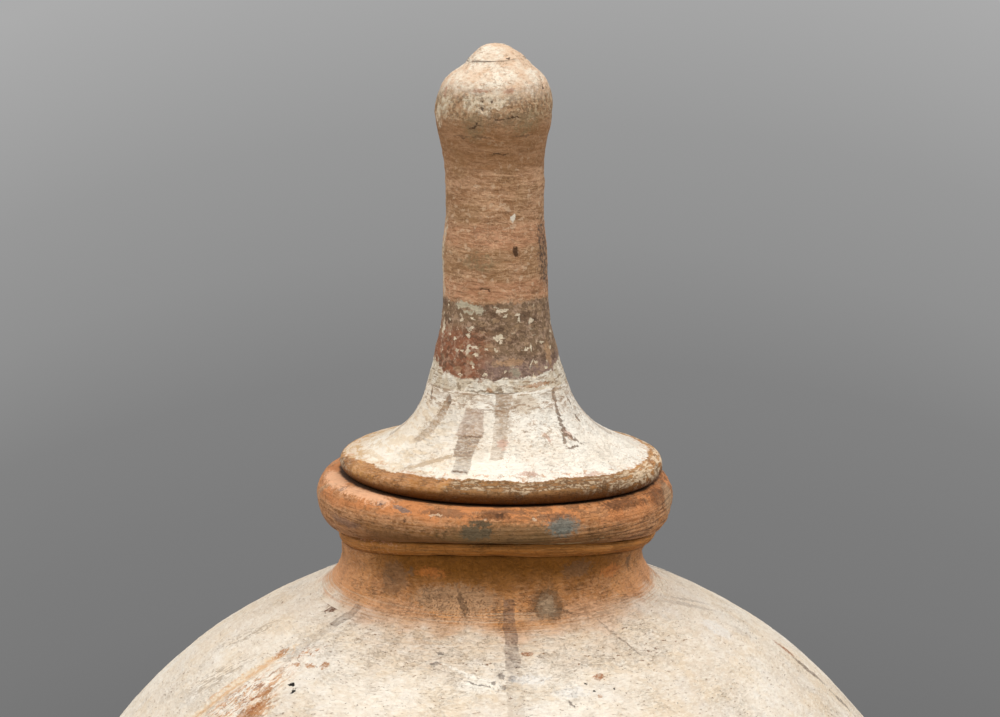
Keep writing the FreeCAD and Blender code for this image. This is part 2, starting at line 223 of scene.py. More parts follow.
def curved(points, foot, step, share=1.0):
    """A wall through the points: cubic pieces, whose slope at a point is that of the chord between its
    neighbours, read at even steps of length."""
    knots = np.array(points, float) + (0, foot)
    along = np.concatenate([[0], np.cumsum(np.hypot(*np.diff(knots, axis=0).T))])
    slopes = np.gradient(knots, along, axis=0)
    place = np.linspace(0, along[-1], int(along[-1] / step) + 2)
    piece = np.clip(np.searchsorted(along, place, side="right") - 1, 0, len(along) - 2)
    width = (along[piece + 1] - along[piece])[:, None]
    t = (place - along[piece])[:, None] / width
    start, end = knots[piece], knots[piece + 1]
    rows = (
        (2 * t**3 - 3 * t**2 + 1) * start + (t**3 - 2 * t**2 + t) * width * slopes[piece]
        + (3 * t**2 - 2 * t**3) * end + (t**3 - t**2) * width * slopes[piece + 1]
    )
    return wall(rows[:, 0], rows[:, 1], share)


def straight(start, end, step=FACE_STEP):
    """A plain wall from one (radius, height) to another, in even steps, with no unevenness."""
    count = int(math.dist(start, end) / step) + 2
    return wall(np.linspace(start[0], end[0], count), np.linspace(start[1], end[1], count), 0.0)


def faces(start, *corners):
    """Plain walls from a start through corners, each (radius, height) and, where the rows of the wall up
    to it aren't spaced as usual, their step."""
    ends = [start, *corners]
    return [straight(low[:2], high[:2], *high[2:]) for low, high in zip(ends, corners)]


def round_wall(radius, low, high, step, share=1.0):
    """The side of the round body from one height to another: the radius is the root of the ball's
    squared less the height over its centre squared."""
    start, end = (math.asin((height - BODY_CENTRE) / radius) for height in (low, high))
    angle = np.linspace(start, end, int(abs(end - start) * radius / step) + 2)
    return wall(radius * np.cos(angle), BODY_CENTRE + radius * np.sin(angle), share)


def section(*walls):
    """Walls joined end to end, with the rows that two of them share kept once."""
    rows = walls[0]
    for following in walls[1:]:
        rows = np.vstack([rows, following[1:]])
    closed = rows[0, 0] > 0
    return rows[:-1] if closed else rows


def lattice_noise(x, y, z, seed):
    """Smooth noise from -1 to 1: a scrambled number on each corner of unit cells, blended across the
    cell with the S-curve of the place in it."""
    cell = [np.floor(axis).astype(np.int64) for axis in (x, y, z)]
    part = [axis - corner for axis, corner in zip((x, y, z), cell)]
    part = [t * t * (3 - 2 * t) for t in part]
    total = 0
    for dx in (0, 1):
        for dy in (0, 1):
            for dz in (0, 1):
                key = (cell[0] + dx) * 374761393 + (cell[1] + dy) * 668265263
                key = (key + (cell[2] + dz) * 2147483647 + seed * 974634777) & 0xFFFFFFFF
                key = ((key ^ (key >> 13)) * 1274126177) & 0xFFFFFFFF
                key = ((key ^ (key >> 16)) * 2246822519) & 0xFFFFFFFF
                share = (part[0] if dx else 1 - part[0]) * (part[1] if dy else 1 - part[1])
                share = share * (part[2] if dz else 1 - part[2])
                total = total + share * ((key ^ (key >> 15)) & 0xFFFF) / 32767.5
    return total - 1


def lumps(x, y, z, seed, octaves=3):
    """Noise summed at halving sizes and halving strength."""
    return sum(
        lattice_noise(x * 2**octave, y * 2**octave, z * 2**octave, seed + octave) / 2**octave
        for octave in range(octaves)
    )


def stand(side, azimuth, height, turn):
    """A place on a side before it is bent, and the ways across, along and out of a mark there: the way
    along goes up the side, and leans to the left by the turn."""
    angle, lean = math.radians(azimuth), math.radians(turn)
    radius, above, below = np.interp((height, height + 0.5, height - 0.5), side[:, 1], side[:, 0])
    slope = math.atan(above - below)
    round_way = Vector((math.cos(angle), math.sin(angle), 0))
    up_way = Vector((math.sin(slope) * math.sin(angle), -math.sin(slope) * math.cos(angle), math.cos(slope)))
    across = round_way * math.cos(lean) + up_way * math.sin(lean)
    along = up_way * math.cos(lean) - round_way * math.sin(lean)
    ways = Matrix((across, along, round_way.cross(up_way))).transposed()
    return (radius * math.sin(angle), -radius * math.cos(angle), height), ways


def half_sizes(across, along):
    """A mark's half sizes across, along and out of the side, the last from the larger of the others."""
    return across, along, MARK_REACH * max(across, along, LEAST_MARK)


def dented(group, x, y, height):
    """How far the dents sink a wall: by each one's depth inside it, less and less across its edge."""
    side, sunk = LID_SIDE if group in ("skirt", "grip") else JAR_SIDE, 0.0
    for azimuth, level_at, across, along, turn, depth in DENTS[group]:
        centre, ways = stand(side, azimuth, level_at, turn)
        away = [x - centre[0], y - centre[1], height - centre[2]]
        parts = [sum(step * way[axis] for axis, step in enumerate(away)) / half
                 for way, half in zip(ways.transposed(), half_sizes(across, along))]
        sunk = sunk + depth * smooth_step(*DENT_EDGE, np.sqrt(sum(part * part for part in parts)))
    return sunk


def grooved(azimuth, height):
    """Depth of the grooves round the right of the rim: narrow troughs of an even wave up the roll."""
    middle, reach = sum(GROOVES_ROUND) / 2, (GROOVES_ROUND[1] - GROOVES_ROUND[0]) / 2
    off = np.abs((azimuth * DEGREES - middle + 180) % 360 - 180)
    share = smooth_step(reach + GROOVES_FADE, reach - GROOVES_FADE, off)
    share = share * smooth_step(GROOVES_UP[0] - 1, GROOVES_UP[0] + 1, height)
    share = share * smooth_step(GROOVES_UP[1] + 1, GROOVES_UP[1] - 1, height)
    return GROOVE_DEPTH * share * (0.5 - 0.5 * np.cos(2 * math.pi * height / GROOVE_SPACING)) ** 2


def relief(group, azimuth, radius, height, x, y):
    """How far a wall stands proud: the sum of its lumps, of the marks of the wheel that run round it and
    of its grain, less the dents and, on the rim, the grooves."""
    size, lump, wheel, grain = WALLS[group]
    climb = height - radius
    return (
        lump * lumps(x / size, y / size, height / size, LUMP_SEED)
        + wheel * lumps(x / WHEEL_ROUND, y / WHEEL_ROUND, climb / WHEEL_SIZE, WHEEL_SEED, 2)
        + grain * lumps(x / GRAIN_SIZE, y / GRAIN_SIZE, height / GRAIN_SIZE, GRAIN_SEED, 2)
        - dented(group, x, y, height)
        - (grooved(azimuth, height) if group == "rim" else 0.0)
    )


def lean_at(lean, height):
    """A leaning centre line's place along X at each height."""
    heights, shifts = zip(*lean)
    return np.interp(height, heights, shifts)


def tilt(x, y):
    """How far the seat, and the flange on it, rise: less the slope's drop towards +X, less a sag that
    grows with the cube of the cosine of the azimuth in front, and less one at the sides that grows with
    its sine to the power of 1.5."""
    radius = np.hypot(x, y) + MM
    front, side = np.clip(-y / radius, 0, 1), np.abs(x / radius)
    return -(x * SEAT_SLOPE + FRONT_SAG * front**3 + SIDE_SAG * side**1.5) * seat_share(radius)


def edge_sag(x, y):
    """How far the flange's lower edge, and the seat under it, rise on top of that: less a sag that grows
    with the square of the sine of the azimuth, and is larger on the right."""
    radius = np.hypot(x, y) + MM
    return -(EDGE_SAG * (x / radius) ** 2 * (0.7 + 0.5 * x / radius)) * seat_share(radius)


def jar_bend(x, y, z, azimuth, lean):
    """The jar's own crookedness: the rim leans and tilts, the creases under it rise in front and fall
    at the sides in one and two waves, and the roll sags fuller on the right than on the left, by a bell
    curve up the rim."""
    rim = z - RIM_FOOT
    waves = sum(size * np.cos(turns * azimuth) for turns, size in enumerate(CREASE_WAVES))
    creased = smooth_step(*CREASES_IN, rim) * (1 - smooth_step(*CREASES_OUT, rim))
    out = lean * ROLL_SAG * np.sin(azimuth) * np.exp(-(((rim - ROLL_SAG_AT) / ROLL_SAG_REACH) ** 2))
    x, y = x + out * np.sin(azimuth), y - out * np.cos(azimuth)
    sunk = smooth_step(*SAG_ROUND, np.hypot(x, y)) * edge_sag(x, y)
    z = z + lean * (creased * waves + smooth_step(*TILT_IN, rim) * (tilt(x, y) + sunk))
    return x + lean * lean_at(JAR_LEAN, z), y, z


def lid_bend(x, y, z, azimuth, lean):
    """The lid's own crookedness: the flange follows the tilted seat, the grip leans, and the seam round
    the cap rises to the right, by a bell curve about its height."""
    seam = np.exp(-(((z - KNOB_TOP) / CAP_SEAM_REACH) ** 2))
    sunk = smooth_step(*SAG_UP, z) * edge_sag(x + LID_AXIS, y)
    z = z + lean * (tilt(x + LID_AXIS, y) + sunk + seam * x * CAP_SLOPE)
    return x + LID_AXIS + lean * (lean_at(LID_LEAN, z) - LID_AXIS), y, z


def turned(name, node, rows, columns, group, bend, finish):
    """A closed shell that stands for a solid: its section's rows turned through even columns, with a
    pole and a fan of triangles where the section meets the axis."""
    azimuth = np.linspace(0, 2 * math.pi, columns, endpoint=False)[None, :]
    across, ahead = np.sin(azimuth), -np.cos(azimuth)
    radius, height, out, up, share, lean = (column[:, None] for column in rows.T)
    turned_height = np.broadcast_to(height, (len(rows), columns))
    proud = share * relief(group, azimuth, radius, height, radius * across, radius * ahead)
    radius, height = radius + proud * out, height + proud * up
    points = np.stack(bend(radius * across, radius * ahead, height, azimuth, lean), -1)
    poles = rows[0, 0] == 0
    ring = points[1:-1] if poles else points
    ring_heights = turned_height[1:-1] if poles else turned_height
    place = np.arange(ring.shape[0] * columns).reshape(-1, columns)
    after = np.roll(place, -1, axis=1)
    low, high = (slice(0, -1), slice(1, None)) if poles else (slice(None), slice(None))
    above = (place, after) if poles else (np.roll(place, -1, axis=0), np.roll(after, -1, axis=0))
    quads = np.stack([place[low], after[low], above[1][high], above[0][high]], -1).reshape(-1, 4)
    vertices, fans, heights = ring.reshape(-1, 3), np.zeros((0, 3), int), ring_heights.ravel()
    if poles:
        bottom, top = len(vertices), len(vertices) + 1
        vertices = np.vstack([vertices, points[0].mean(0), points[-1].mean(0)])
        heights = np.append(heights, (rows[0, 1], rows[-1, 1]))
        fans = np.vstack([
            np.stack([np.full(columns, bottom), after[0], place[0]], -1),
            np.stack([place[-1], after[-1], np.full(columns, top)], -1),
        ])
    starts = np.concatenate([np.arange(len(quads)) * 4, len(quads) * 4 + np.arange(len(fans)) * 3])
    corners = np.concatenate([quads.ravel(), fans.ravel()])
    mesh = bpy.data.meshes.new(name)
    mesh.vertices.add(len(vertices))
    mesh.vertices.foreach_set("co", (vertices * MM).ravel())
    mesh.loops.add(len(corners))
    mesh.loops.foreach_set("vertex_index", corners)
    mesh.polygons.add(len(starts))
    mesh.polygons.foreach_set("loop_start", starts)
    mesh.update(calc_edges=True)
    mesh.polygons.foreach_set("use_smooth", np.ones(len(starts), bool))
    mesh.attributes.new(TURNED_HEIGHT, "FLOAT", "POINT").data.foreach_set("value", heights)
    mesh.set_sharp_from_angle(angle=math.radians(SHARP_ANGLE))
    mesh.materials.append(finish)
    piece = bpy.data.objects.new(name, mesh)
    bpy.context.scene.collection.objects.link(piece)
    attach(piece, "jar" if bend is jar_bend else "lid")
    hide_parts(node)


def bottom_section():
    """Lower half of the round body: floor and outer side, the join, the inner side down to the floor."""
    inner = BODY_RADIUS - BODY_WALL
    floor = BODY_FOOT + FLOOR_THICKNESS
    floor_radius = math.sqrt(inner**2 - (BODY_CENTRE - floor) ** 2)
    return section(
        straight((0, BODY_FOOT), (WAIST_RADIUS, BODY_FOOT), INNER_STEP),
        round_wall(BODY_RADIUS, BODY_FOOT, BODY_CENTRE, BODY_STEP),
        straight((BODY_RADIUS, BODY_CENTRE), (inner, BODY_CENTRE)),
        round_wall(inner, BODY_CENTRE, floor, INNER_STEP, 0.0),
        straight((floor_radius, floor), (0, floor), INNER_STEP),
    )


def shoulder_section():
    """Upper half of the round body: outer side up to the neck, the opening, the inner side."""
    inner = BODY_RADIUS - BODY_WALL
    opening = BODY_CENTRE + math.sqrt(inner**2 - MOUTH_RADIUS**2)
    shoulder = round_wall(BODY_RADIUS, SHOULDER_FROM, NECK_FOOT, SHOULDER_STEP)
    shoulder[:, RELIEF] = smooth_step(0, SEAM_FADE, NECK_FOOT - shoulder[:, 1])
    return section(
        round_wall(BODY_RADIUS, BODY_CENTRE, SHOULDER_FROM, BODY_STEP),
        shoulder,
        *faces((NECK_FOOT_RADIUS, NECK_FOOT), (MOUTH_RADIUS, NECK_FOOT), (MOUTH_RADIUS, opening)),
        round_wall(inner, opening, BODY_CENTRE, INNER_STEP, 0.0),
        straight((inner, BODY_CENTRE), (BODY_RADIUS, BODY_CENTRE)),
    )


def neck_section():
    """The neck: flaring foot, hollow side, and the straight bore inside."""
    side = curved(NECK_OUTLINE, NECK_FOOT, COLLAR_STEP)
    side[:, RELIEF] = smooth_step(0, SEAM_FADE, side[:, 1] - NECK_FOOT)
    return section(side, *faces((NECK_OUTLINE[-1][0], RIM_FOOT), (MOUTH_RADIUS, RIM_FOOT),
                                (MOUTH_RADIUS, NECK_FOOT), (NECK_FOOT_RADIUS, NECK_FOOT)))


def rim_section():
    """The rim: a low bead, the full roll, the flat seat, the rounded mouth and the bore."""
    roll = curved(ROLL_OUTLINE, RIM_FOOT, COLLAR_STEP)
    calm = smooth_step(*CALM_ROUND, roll[:, 0])
    roll[:, RELIEF] = np.where(roll[:, 1] > SEAT - CALM_BELOW_SEAT, calm, 1.0)
    corner = np.linspace(0, math.pi / 2, MOUTH_ROWS)
    mouth = wall(SEAT_INNER - MOUTH_ROUNDING * np.sin(corner),
                 SEAT - MOUTH_ROUNDING * (1 - np.cos(corner)), 0.0)
    seat = straight((ROLL_OUTLINE[-1][0], SEAT), (SEAT_INNER, SEAT), SEAT_STEP)
    for rows in (seat, mouth):
        rows[:, LEAN] = seat_share(rows[:, 0])
    return section(
        curved(BEAD_OUTLINE, RIM_FOOT, COLLAR_STEP), roll, seat, mouth,
        *faces((MOUTH_RADIUS, SEAT - MOUTH_ROUNDING), (MOUTH_RADIUS, RIM_FOOT, INSIDE_STEP),
               (BEAD_OUTLINE[0][0], RIM_FOOT)),
    )


def foot_section():
    """The foot ring: a low band, the side hollowed in to the body, and the recess inside."""
    inner = half_width("foot_ring") - FOOT_WIDTH
    return section(
        curved(FOOT_OUTLINE, 0, FOOT_STEP),
        *faces((WAIST_RADIUS, BODY_FOOT), (FOOT_INNER_TOP, BODY_FOOT), (inner, 0, INSIDE_STEP),
               (*FOOT_OUTLINE[0], INSIDE_STEP)),
    )


def skirt_section():
    """The lid's skirt: flange, hollow sweep and ridge, the join with the stem, the hollow underneath."""
    outer = curved(FLANGE_OUTLINE, LID_FOOT, SKIRT_STEP)
    outer[:, RELIEF] = smooth_step(0, FLANGE_FADE, outer[:, 1] - LID_FOOT)
    under = straight((RING_RADIUS - RING_WALL, LID_FOOT), (FLANGE_OUTLINE[0][0], LID_FOOT), SEAT_STEP)
    under[:, LEAN] = seat_share(under[:, 0])
    top = straight((FLANGE_OUTLINE[-1][0], STEM_FOOT), (STEM_BORE, STEM_FOOT))
    return section(outer, top, curved(HOLLOW_OUTLINE, LID_FOOT, HOLLOW_STEP, 0.0), under)


def ring_section():
    """The locating ring under the lid, with rounded lower edges."""
    inner = RING_RADIUS - RING_WALL
    turn = np.linspace(0, math.pi / 2, RING_ROWS)
    near, far = RING_ROUNDING * (1 - np.sin(turn)), RING_ROUNDING * (1 - np.cos(turn))
    top = RING_FOOT + RING_ROUNDING
    return section(
        wall(RING_RADIUS - near, RING_FOOT + far, 0.0),
        *faces((RING_RADIUS, top), (RING_RADIUS, LID_FOOT, EDGE_STEP), (inner, LID_FOOT),
               (inner, top, EDGE_STEP)),
        wall(inner + far, RING_FOOT + near, 0.0),
        straight((inner + RING_ROUNDING, RING_FOOT), (RING_RADIUS - RING_ROUNDING, RING_FOOT), EDGE_STEP),
    )


def grip_wall(low, high):
    """The stretch of the grip's side between two heights: stem and knob share one curve."""
    rows = curved(GRIP_OUTLINE, STEM_FOOT, GRIP_STEP)
    ends = [np.argmin(np.abs(rows[:, 1] - height)) for height in (low, high)]
    return rows[ends[0]:ends[1] + 1]


def stem_section():
    """The hollow stem, from the ridge to the foot of the knob."""
    side = grip_wall(STEM_FOOT, KNOB_FOOT)
    foot, top = tuple(side[0, :2]), tuple(side[-1, :2])
    return section(side, *faces(top, (STEM_BORE, top[1]), (STEM_BORE, STEM_FOOT, BORE_STEP), foot))


def knob_section():
    """The swollen knob: side and shoulder up to the cap, the peg's hole, and the end of the bore."""
    side = grip_wall(KNOB_FOOT, KNOB_TOP)
    foot, top = tuple(side[0, :2]), tuple(side[-1, :2])
    return section(side, *faces(
        top, (PEG_HOLE_RADIUS, top[1], EDGE_STEP), (PEG_HOLE_RADIUS, PEG_FOOT), (STEM_BORE, PEG_FOOT),
        (STEM_BORE, foot[1], BORE_STEP), foot))


def cap_section():
    """The plug that closes the knob: peg, underside and small dome."""
    peg = faces((0, PEG_FOOT), (PEG_RADIUS, PEG_FOOT, HOLLOW_STEP), (PEG_RADIUS, KNOB_TOP),
                (CAP_OUTLINE[0][0], KNOB_TOP, EDGE_STEP))
    return section(*peg, curved(CAP_OUTLINE, KNOB_TOP, CAP_STEP))


# Outer sides of the jar and of the lid, for finding the radius at a height.
JAR_SIDE = np.vstack([
    round_wall(BODY_RADIUS, BODY_FOOT, NECK_FOOT, BODY_STEP),
    curved(NECK_OUTLINE, NECK_FOOT, COLLAR_STEP),
    curved(BEAD_OUTLINE, RIM_FOOT, COLLAR_STEP),
    curved(ROLL_OUTLINE, RIM_FOOT, COLLAR_STEP),
])
LID_SIDE = np.vstack([
    curved(FLANGE_OUTLINE, LID_FOOT, SKIRT_STEP),
    curved(GRIP_OUTLINE, STEM_FOOT, GRIP_STEP),
    curved(CAP_OUTLINE, KNOB_TOP, CAP_STEP),
])

# How far a seed moves a pattern along each axis, in cells, and the spread of a layer of noise about 0.5.
NOISE_STEP = (17.3, 9.1, 5.7)
NOISE_SPREAD = 0.135


def as_light(tone):
    """A printer's tone, 0 to 255, turned into the even scale that light adds up on: a share c under 0.04
    is divided by 12.92, and a larger one is (c + 0.055) / 1.055 to the power of 2.4. A wire stays, and so
    does a tone of four numbers, which is on that scale already."""
    if isinstance(tone, Wire) or len(tone) == 4:
        return tone
    shares = [channel / 255 for channel in tone]
    return tuple(c / 12.92 if c <= 0.04045 else ((c + 0.055) / 1.055) ** 2.4 for c in shares) + (1.0,)


class Wire:
    """A value that runs from node to node in a paint, and takes Python's own signs."""

    def __init__(self, paint, socket):
        self.paint, self.socket = paint, socket

    def __add__(self, other):
        return self.paint.maths("ADD", self, other)

    def __sub__(self, other):
        return self.paint.maths("SUBTRACT", self, other)

    def __rsub__(self, other):
        return self.paint.maths("SUBTRACT", other, self)

    def __mul__(self, other):
        return self.paint.maths("MULTIPLY", self, other)

    def __truediv__(self, other):
        return self.paint.maths("DIVIDE", self, other)

    __radd__, __rmul__ = __add__, __mul__


class Paint:
    """A tree of nodes that works out colours, with one way to add a node to it."""

    def __init__(self, tree):
        self.tree = tree
        tree.nodes.clear()

    def node(self, kind, settings, sockets, output=0):
        """Adds a node: its settings first, then each socket's value or wire. Gives one output."""
        made = self.tree.nodes.new("ShaderNode" + kind)
        for name, setting in settings.items():
            setattr(made, name, setting)
        for key, value in sockets.items():
            if isinstance(value, Wire):
                self.tree.links.new(value.socket, made.inputs[key])
            else:
                made.inputs[key].default_value = value
        return Wire(self, made.outputs[output]) if made.outputs else None

    def maths(self, operation, *values):
        """A sum on numbers."""
        return self.node("Math", {"operation": operation}, dict(enumerate(values)))

    def vector(self, operation, *values, output=0):
        """A sum on places."""
        return self.node("VectorMath", {"operation": operation}, dict(enumerate(values)), output)

    def joined(self, *parts):
        """A place from its parts."""
        return self.node("CombineXYZ", {}, dict(enumerate(parts)))

    def part(self, place, axis):
        """One part of a place."""
        return self.node("SeparateXYZ", {}, {0: place}, axis)

    def mask(self, value, low, high, how="SMOOTHSTEP"):
        """0 at low, 1 at high, even S-curve between. A low above high turns it round."""
        sockets = {"Value": value, "From Min": low, "From Max": high}
        return self.node("MapRange", {"interpolation_type": how}, sockets)

    def window(self, value, low, high, soft):
        """1 between low and high, fading out over soft on each side."""
        return self.mask(value, low - soft, low + soft) * self.mask(value, high + soft, high - soft)

    def strongest(self, masks):
        """The strongest of several masks, each compared as soon as it is made."""
        masks = iter(masks)
        strongest = next(masks)
        for mask in masks:
            strongest = self.maths("MAXIMUM", strongest, mask)
        return strongest

    def either(self, *masks):
        """The stronger of a few masks."""
        return self.strongest(masks)

    def blend(self, share, under, over):
        """Colour over colour, by a share. A colour is a wire or a tone."""
        return self.node("Mix", {"data_type": "RGBA"}, {0: share, 6: as_light(under), 7: as_light(over)}, 2)

    def ramp(self, value, stops):
        """A colour that changes evenly from stop to stop, (value, colour), as the value grows."""
        (start, colour), *others = stops
        for end, following in others:
            colour = self.blend(self.mask(value, start, end, "LINEAR"), colour, following)
            start = end
        return colour


class Finish(Paint):
    """A clay or slip finish, worked out from the place on the piece in millimetres: its azimuth and
    radius round the axis, its height z on the piece as turned, before it was bent, and the climb
    z - radius, which grows all the way up a shoulder."""

    def __init__(self, name, side, bend, climbs=1.0):
        self.material = bpy.data.materials.new(name)
        self.material.use_nodes = True
        super().__init__(self.material.node_tree)
        self.side, self.bend, self.climbs = side, bend, climbs
        self.metres = self.node("TexCoord", {}, {}, "Object")
        self.place = self.vector("MULTIPLY", self.metres, (1 / MM,) * 3)
        x, self.y = self.part(self.place, 0), self.part(self.place, 1)
        self.x = x - (LID_AXIS if bend is lid_bend else 0.0)
        self.z = self.node("Attribute", {"attribute_name": TURNED_HEIGHT}, {}, "Fac")
        self.radius = self.maths("SQRT", self.x * self.x + self.y * self.y)
        self.azimuth = self.maths("ARCTAN2", self.x, self.y * -1.0) * DEGREES
        self.climb = self.z - self.radius * climbs
        self.wheel_place = self.joined(self.x, self.y, self.climb)
        wobble = self.joined(*(self.noise(2.2, 74 + axis, 4, 0.6) - 0.5 for axis in range(3)))
        self.ragged = self.vector("MULTIPLY_ADD", wobble, (RAGGED,) * 3, self.place)
        self.rough = self.noise(1.1, 73, 4, 0.7) - 0.5
        self.wavy = self.azimuth + self.stray(3, 4, 71, 4) * DEGREES / self.radius
        self.wavy_climb = self.climb + self.stray(3, 4, 72, 4)
        self.flat = self.joined(self.wavy, self.wavy_climb)

    def moved(self, place, scale, seed):
        """A place in cells of a pattern, moved by a seed so that patterns differ."""
        sockets = {"Vector": place, "Location": tuple(seed * step for step in NOISE_STEP), "Scale": scale}
        return self.node("Mapping", {"vector_type": "POINT"}, sockets)

    def cloud(self, place, detail, rough):
        """Noise about 0.5 in lumps one cell wide."""
        sockets = {"Vector": place, "Scale": 1.0, "Detail": detail, "Roughness": rough}
        return self.node("TexNoise", {}, sockets)

    def noise(self, size, seed, detail=3.0, rough=0.5):
        """Noise about 0.5, in lumps of that many millimetres, or, where the size is a pair, drawn out
        that far round the wheel and that far up the side."""
        if isinstance(size, tuple):
            place = self.moved(self.wheel_place, (1 / size[0], 1 / size[0], 1 / size[1]), seed)
        else:
            place = self.moved(self.metres, (1 / (size * MM),) * 3, seed)
        return self.cloud(place, detail, rough)

    def stray(self, reach, *sizes):
        """Noise about 0, with sizes as for noise, that strays by half the reach to either side at most."""
        return (self.noise(*sizes) - 0.5) * reach

    def cut(self, noise, share, detail, rough, soft):
        """Noise cut so that a share of the surface stays: where the bell curve of its values leaves that
        share above. The edge is soft by a part of the curve's spread."""
        layers = [rough**layer for layer in range(int(detail) + 1)]
        spread = NOISE_SPREAD * math.hypot(*layers) / sum(layers)
        middle = 0.5 + spread * NormalDist().inv_cdf(1 - share)
        return self.mask(noise, middle - soft * spread, middle + soft * spread)

    def patches(self, size, share, seed, detail=3.0, rough=0.5, soft=0.6):
        """Patches that cover a share of the surface, of a size as for noise."""
        return self.cut(self.noise(size, seed, detail, rough), share, detail, rough, soft)

    def chips(self, size, share, seed):
        """Angular chips, each that far round and that far up, that cover a share of the surface: cells
        round scattered points, kept where the cell's own random number is under the share."""
        place = self.moved(self.ragged, (1 / size[0], 1 / size[0], 1 / size[1]), seed)
        number = self.node("TexVoronoi", {}, {"Vector": place, "Scale": 1.0}, "Color")
        return self.mask(self.node("SeparateColor", {}, {0: number}), share + 0.01, share - 0.01)

    def plates(self, size, seed, edge=0.15):
        """Thin plates, half of the surface, with sharp ragged edges."""
        return self.patches(size, 0.5, seed, 5, 0.7, edge)

    def cracks(self, size, share, seed, width=0.018):
        """Fine crinkled lines, where noise is near its middle, in patches that cover a share of the
        surface."""
        off = self.maths("ABSOLUTE", self.noise(size, seed, 4, 0.65) - 0.5)
        return self.mask(off, width * 1.4, width * 0.5) * self.patches(7, share, seed + 1, 3, 0.6, 0.4)

    def placed(self, azimuth, height, across, along, turn=0.0):
        """The place as seen from a mark, counted in the mark's half sizes across and along. The way
        along leans to the left by the turn."""
        centre, ways = stand(self.side, azimuth, height, turn)
        centre = tuple(float(part) for part in self.bend(*centre, math.radians(azimuth), 1.0))
        away = self.vector("SUBTRACT", self.ragged, centre)
        steps = zip(ways.transposed(), half_sizes(across, along))
        return self.joined(*[self.vector("DOT_PRODUCT", away, tuple(way / half), output="Value")
                             for way, half in steps])

    def spot(self, azimuth, height, across, along, turn=0.0, edge=0.25):
        """An uneven oval mark, with its half sizes in millimetres."""
        place = self.placed(azimuth, height, across, along, turn)
        away = self.vector("LENGTH", place, output="Value")
        away = away + self.rough * min(RAGGED_EDGE / min(across, along), RAGGED_MOST)
        return self.mask(away, 1 + edge, 1 - edge)

    def flakes(self, azimuth, height, across, along, turn, size, share, seed):
        """A spot broken up into flakes that lie along it, each that far across and that far along."""
        place = self.placed(azimuth, height, *size, turn)
        noise = self.cloud(self.moved(place, (1, 1, 1), seed), 3.0, 0.6)
        return self.spot(azimuth, height, across, along, turn, 0.5) * self.cut(noise, share, 3, 0.6, 0.4)

    def scattered(self, groups):
        """Groups of flakes together."""
        return self.strongest(self.flakes(*group) for group in groups)

    def off_front(self, low, high):
        """A mask by how far round it is from the front, to either side, in degrees."""
        return self.mask(self.maths("ABSOLUTE", self.azimuth), low, high)

    def climb_at(self, height):
        """The climb and the radius of the side at a height."""
        radius = float(np.interp(height, self.side[:, 1], self.side[:, 0]))
        return height - radius * self.climbs, radius

    def stripe(self, start, end, widths, soft=0.3):
        """A painted stripe between two (azimuth, height) places, upper first, with its half width in
        millimetres at each."""
        (high, high_radius), (low, low_radius) = self.climb_at(start[1]), self.climb_at(end[1])
        wide = [width * DEGREES / radius for width, radius in zip(widths, (high_radius, low_radius))]
        slope, spread = (start[0] - end[0]) / (high - low), (wide[0] - wide[1]) / (high - low)
        line = self.vector("DOT_PRODUCT", self.flat, (1, -slope, 0), output="Value")
        off = self.maths("ABSOLUTE", line - (end[0] - slope * low))
        half = self.wavy_climb * spread + (wide[1] - spread * low)
        edge = soft * DEGREES / low_radius
        return self.mask(half - off, -edge, edge) * self.window(self.wavy_climb, low, high, soft)

    def layered(self, colour, rows):
        """A colour with layers laid over it. Each row has a tone, a strength, the way of laying it on and
        what that way takes."""
        for tone, strength, lay, *sizes in rows:
            colour = self.blend(lay(*sizes) * strength, colour, tone)
        return colour

    def marked(self, colour, marks, wear=1.0):
        """A colour with marks laid over it. Each row has a tone, a strength, and its spots or its stripes."""
        for tone, strength, places in marks:
            drawn = ((self.spot if len(place) > 3 else self.stripe)(*place) for place in places)
            colour = self.blend(self.strongest(drawn) * wear * strength, colour, tone)
        return colour

    def close(self, colour, roughness, height):
        """The finished surface: colour, roughness and a relief in millimetres."""
        normal = self.node("Bump", {}, {"Strength": 1.0, "Distance": MM, "Height": height})
        sockets = {"Base Color": colour, "Roughness": roughness, "Normal": normal, "IOR": CLAY_SHEEN}
        self.node("OutputMaterial", {}, {"Surface": self.node("BsdfPrincipled", {}, sockets)})
        return self.material


CLAY_SHEEN = 1.25

# How ragged a mark is: how far its whole form is pulled about, how far its edge is, and the most of that
# as a share of a small mark's half size.
RAGGED, RAGGED_EDGE, RAGGED_MOST = 3.4, 6.5, 2.8

# Tones, as a printer's 0 to 255.
IVORY = (248, 241, 227)
CREAM = (233, 221, 204)
DULL_CREAM = (220, 204, 184)
STAINED_CREAM = (222, 193, 152)
BLUISH = (226, 223, 218)
BEIGE = (201, 180, 153)
TAN = (203, 152, 112)
BROWN = (142, 98, 64)
DARK_BROWN = (74, 50, 34)
NEARLY_BLACK = (34, 26, 20)

# Places that the finishes need: where bare clay reaches down from the neck and where it is speckled, the
# chalky streak in the scraped place, the radii where the painted shadow of the lid ends on the rim, and
# the radius where the skirt's slip ends.
BARE_TONGUE = (9, 341, 12, 9, 0, 0.6)
SPECKLED_SPOT = (-12, 344, 15, 6, 0, 0.5)
BODY_CHALK = (-53, 314, 8, 19, -20, (1.2, 3), 0.3, 138)
LID_SHADOW_RADII = (55.9, 54.6)
SLIP_RADIUS = 48.8
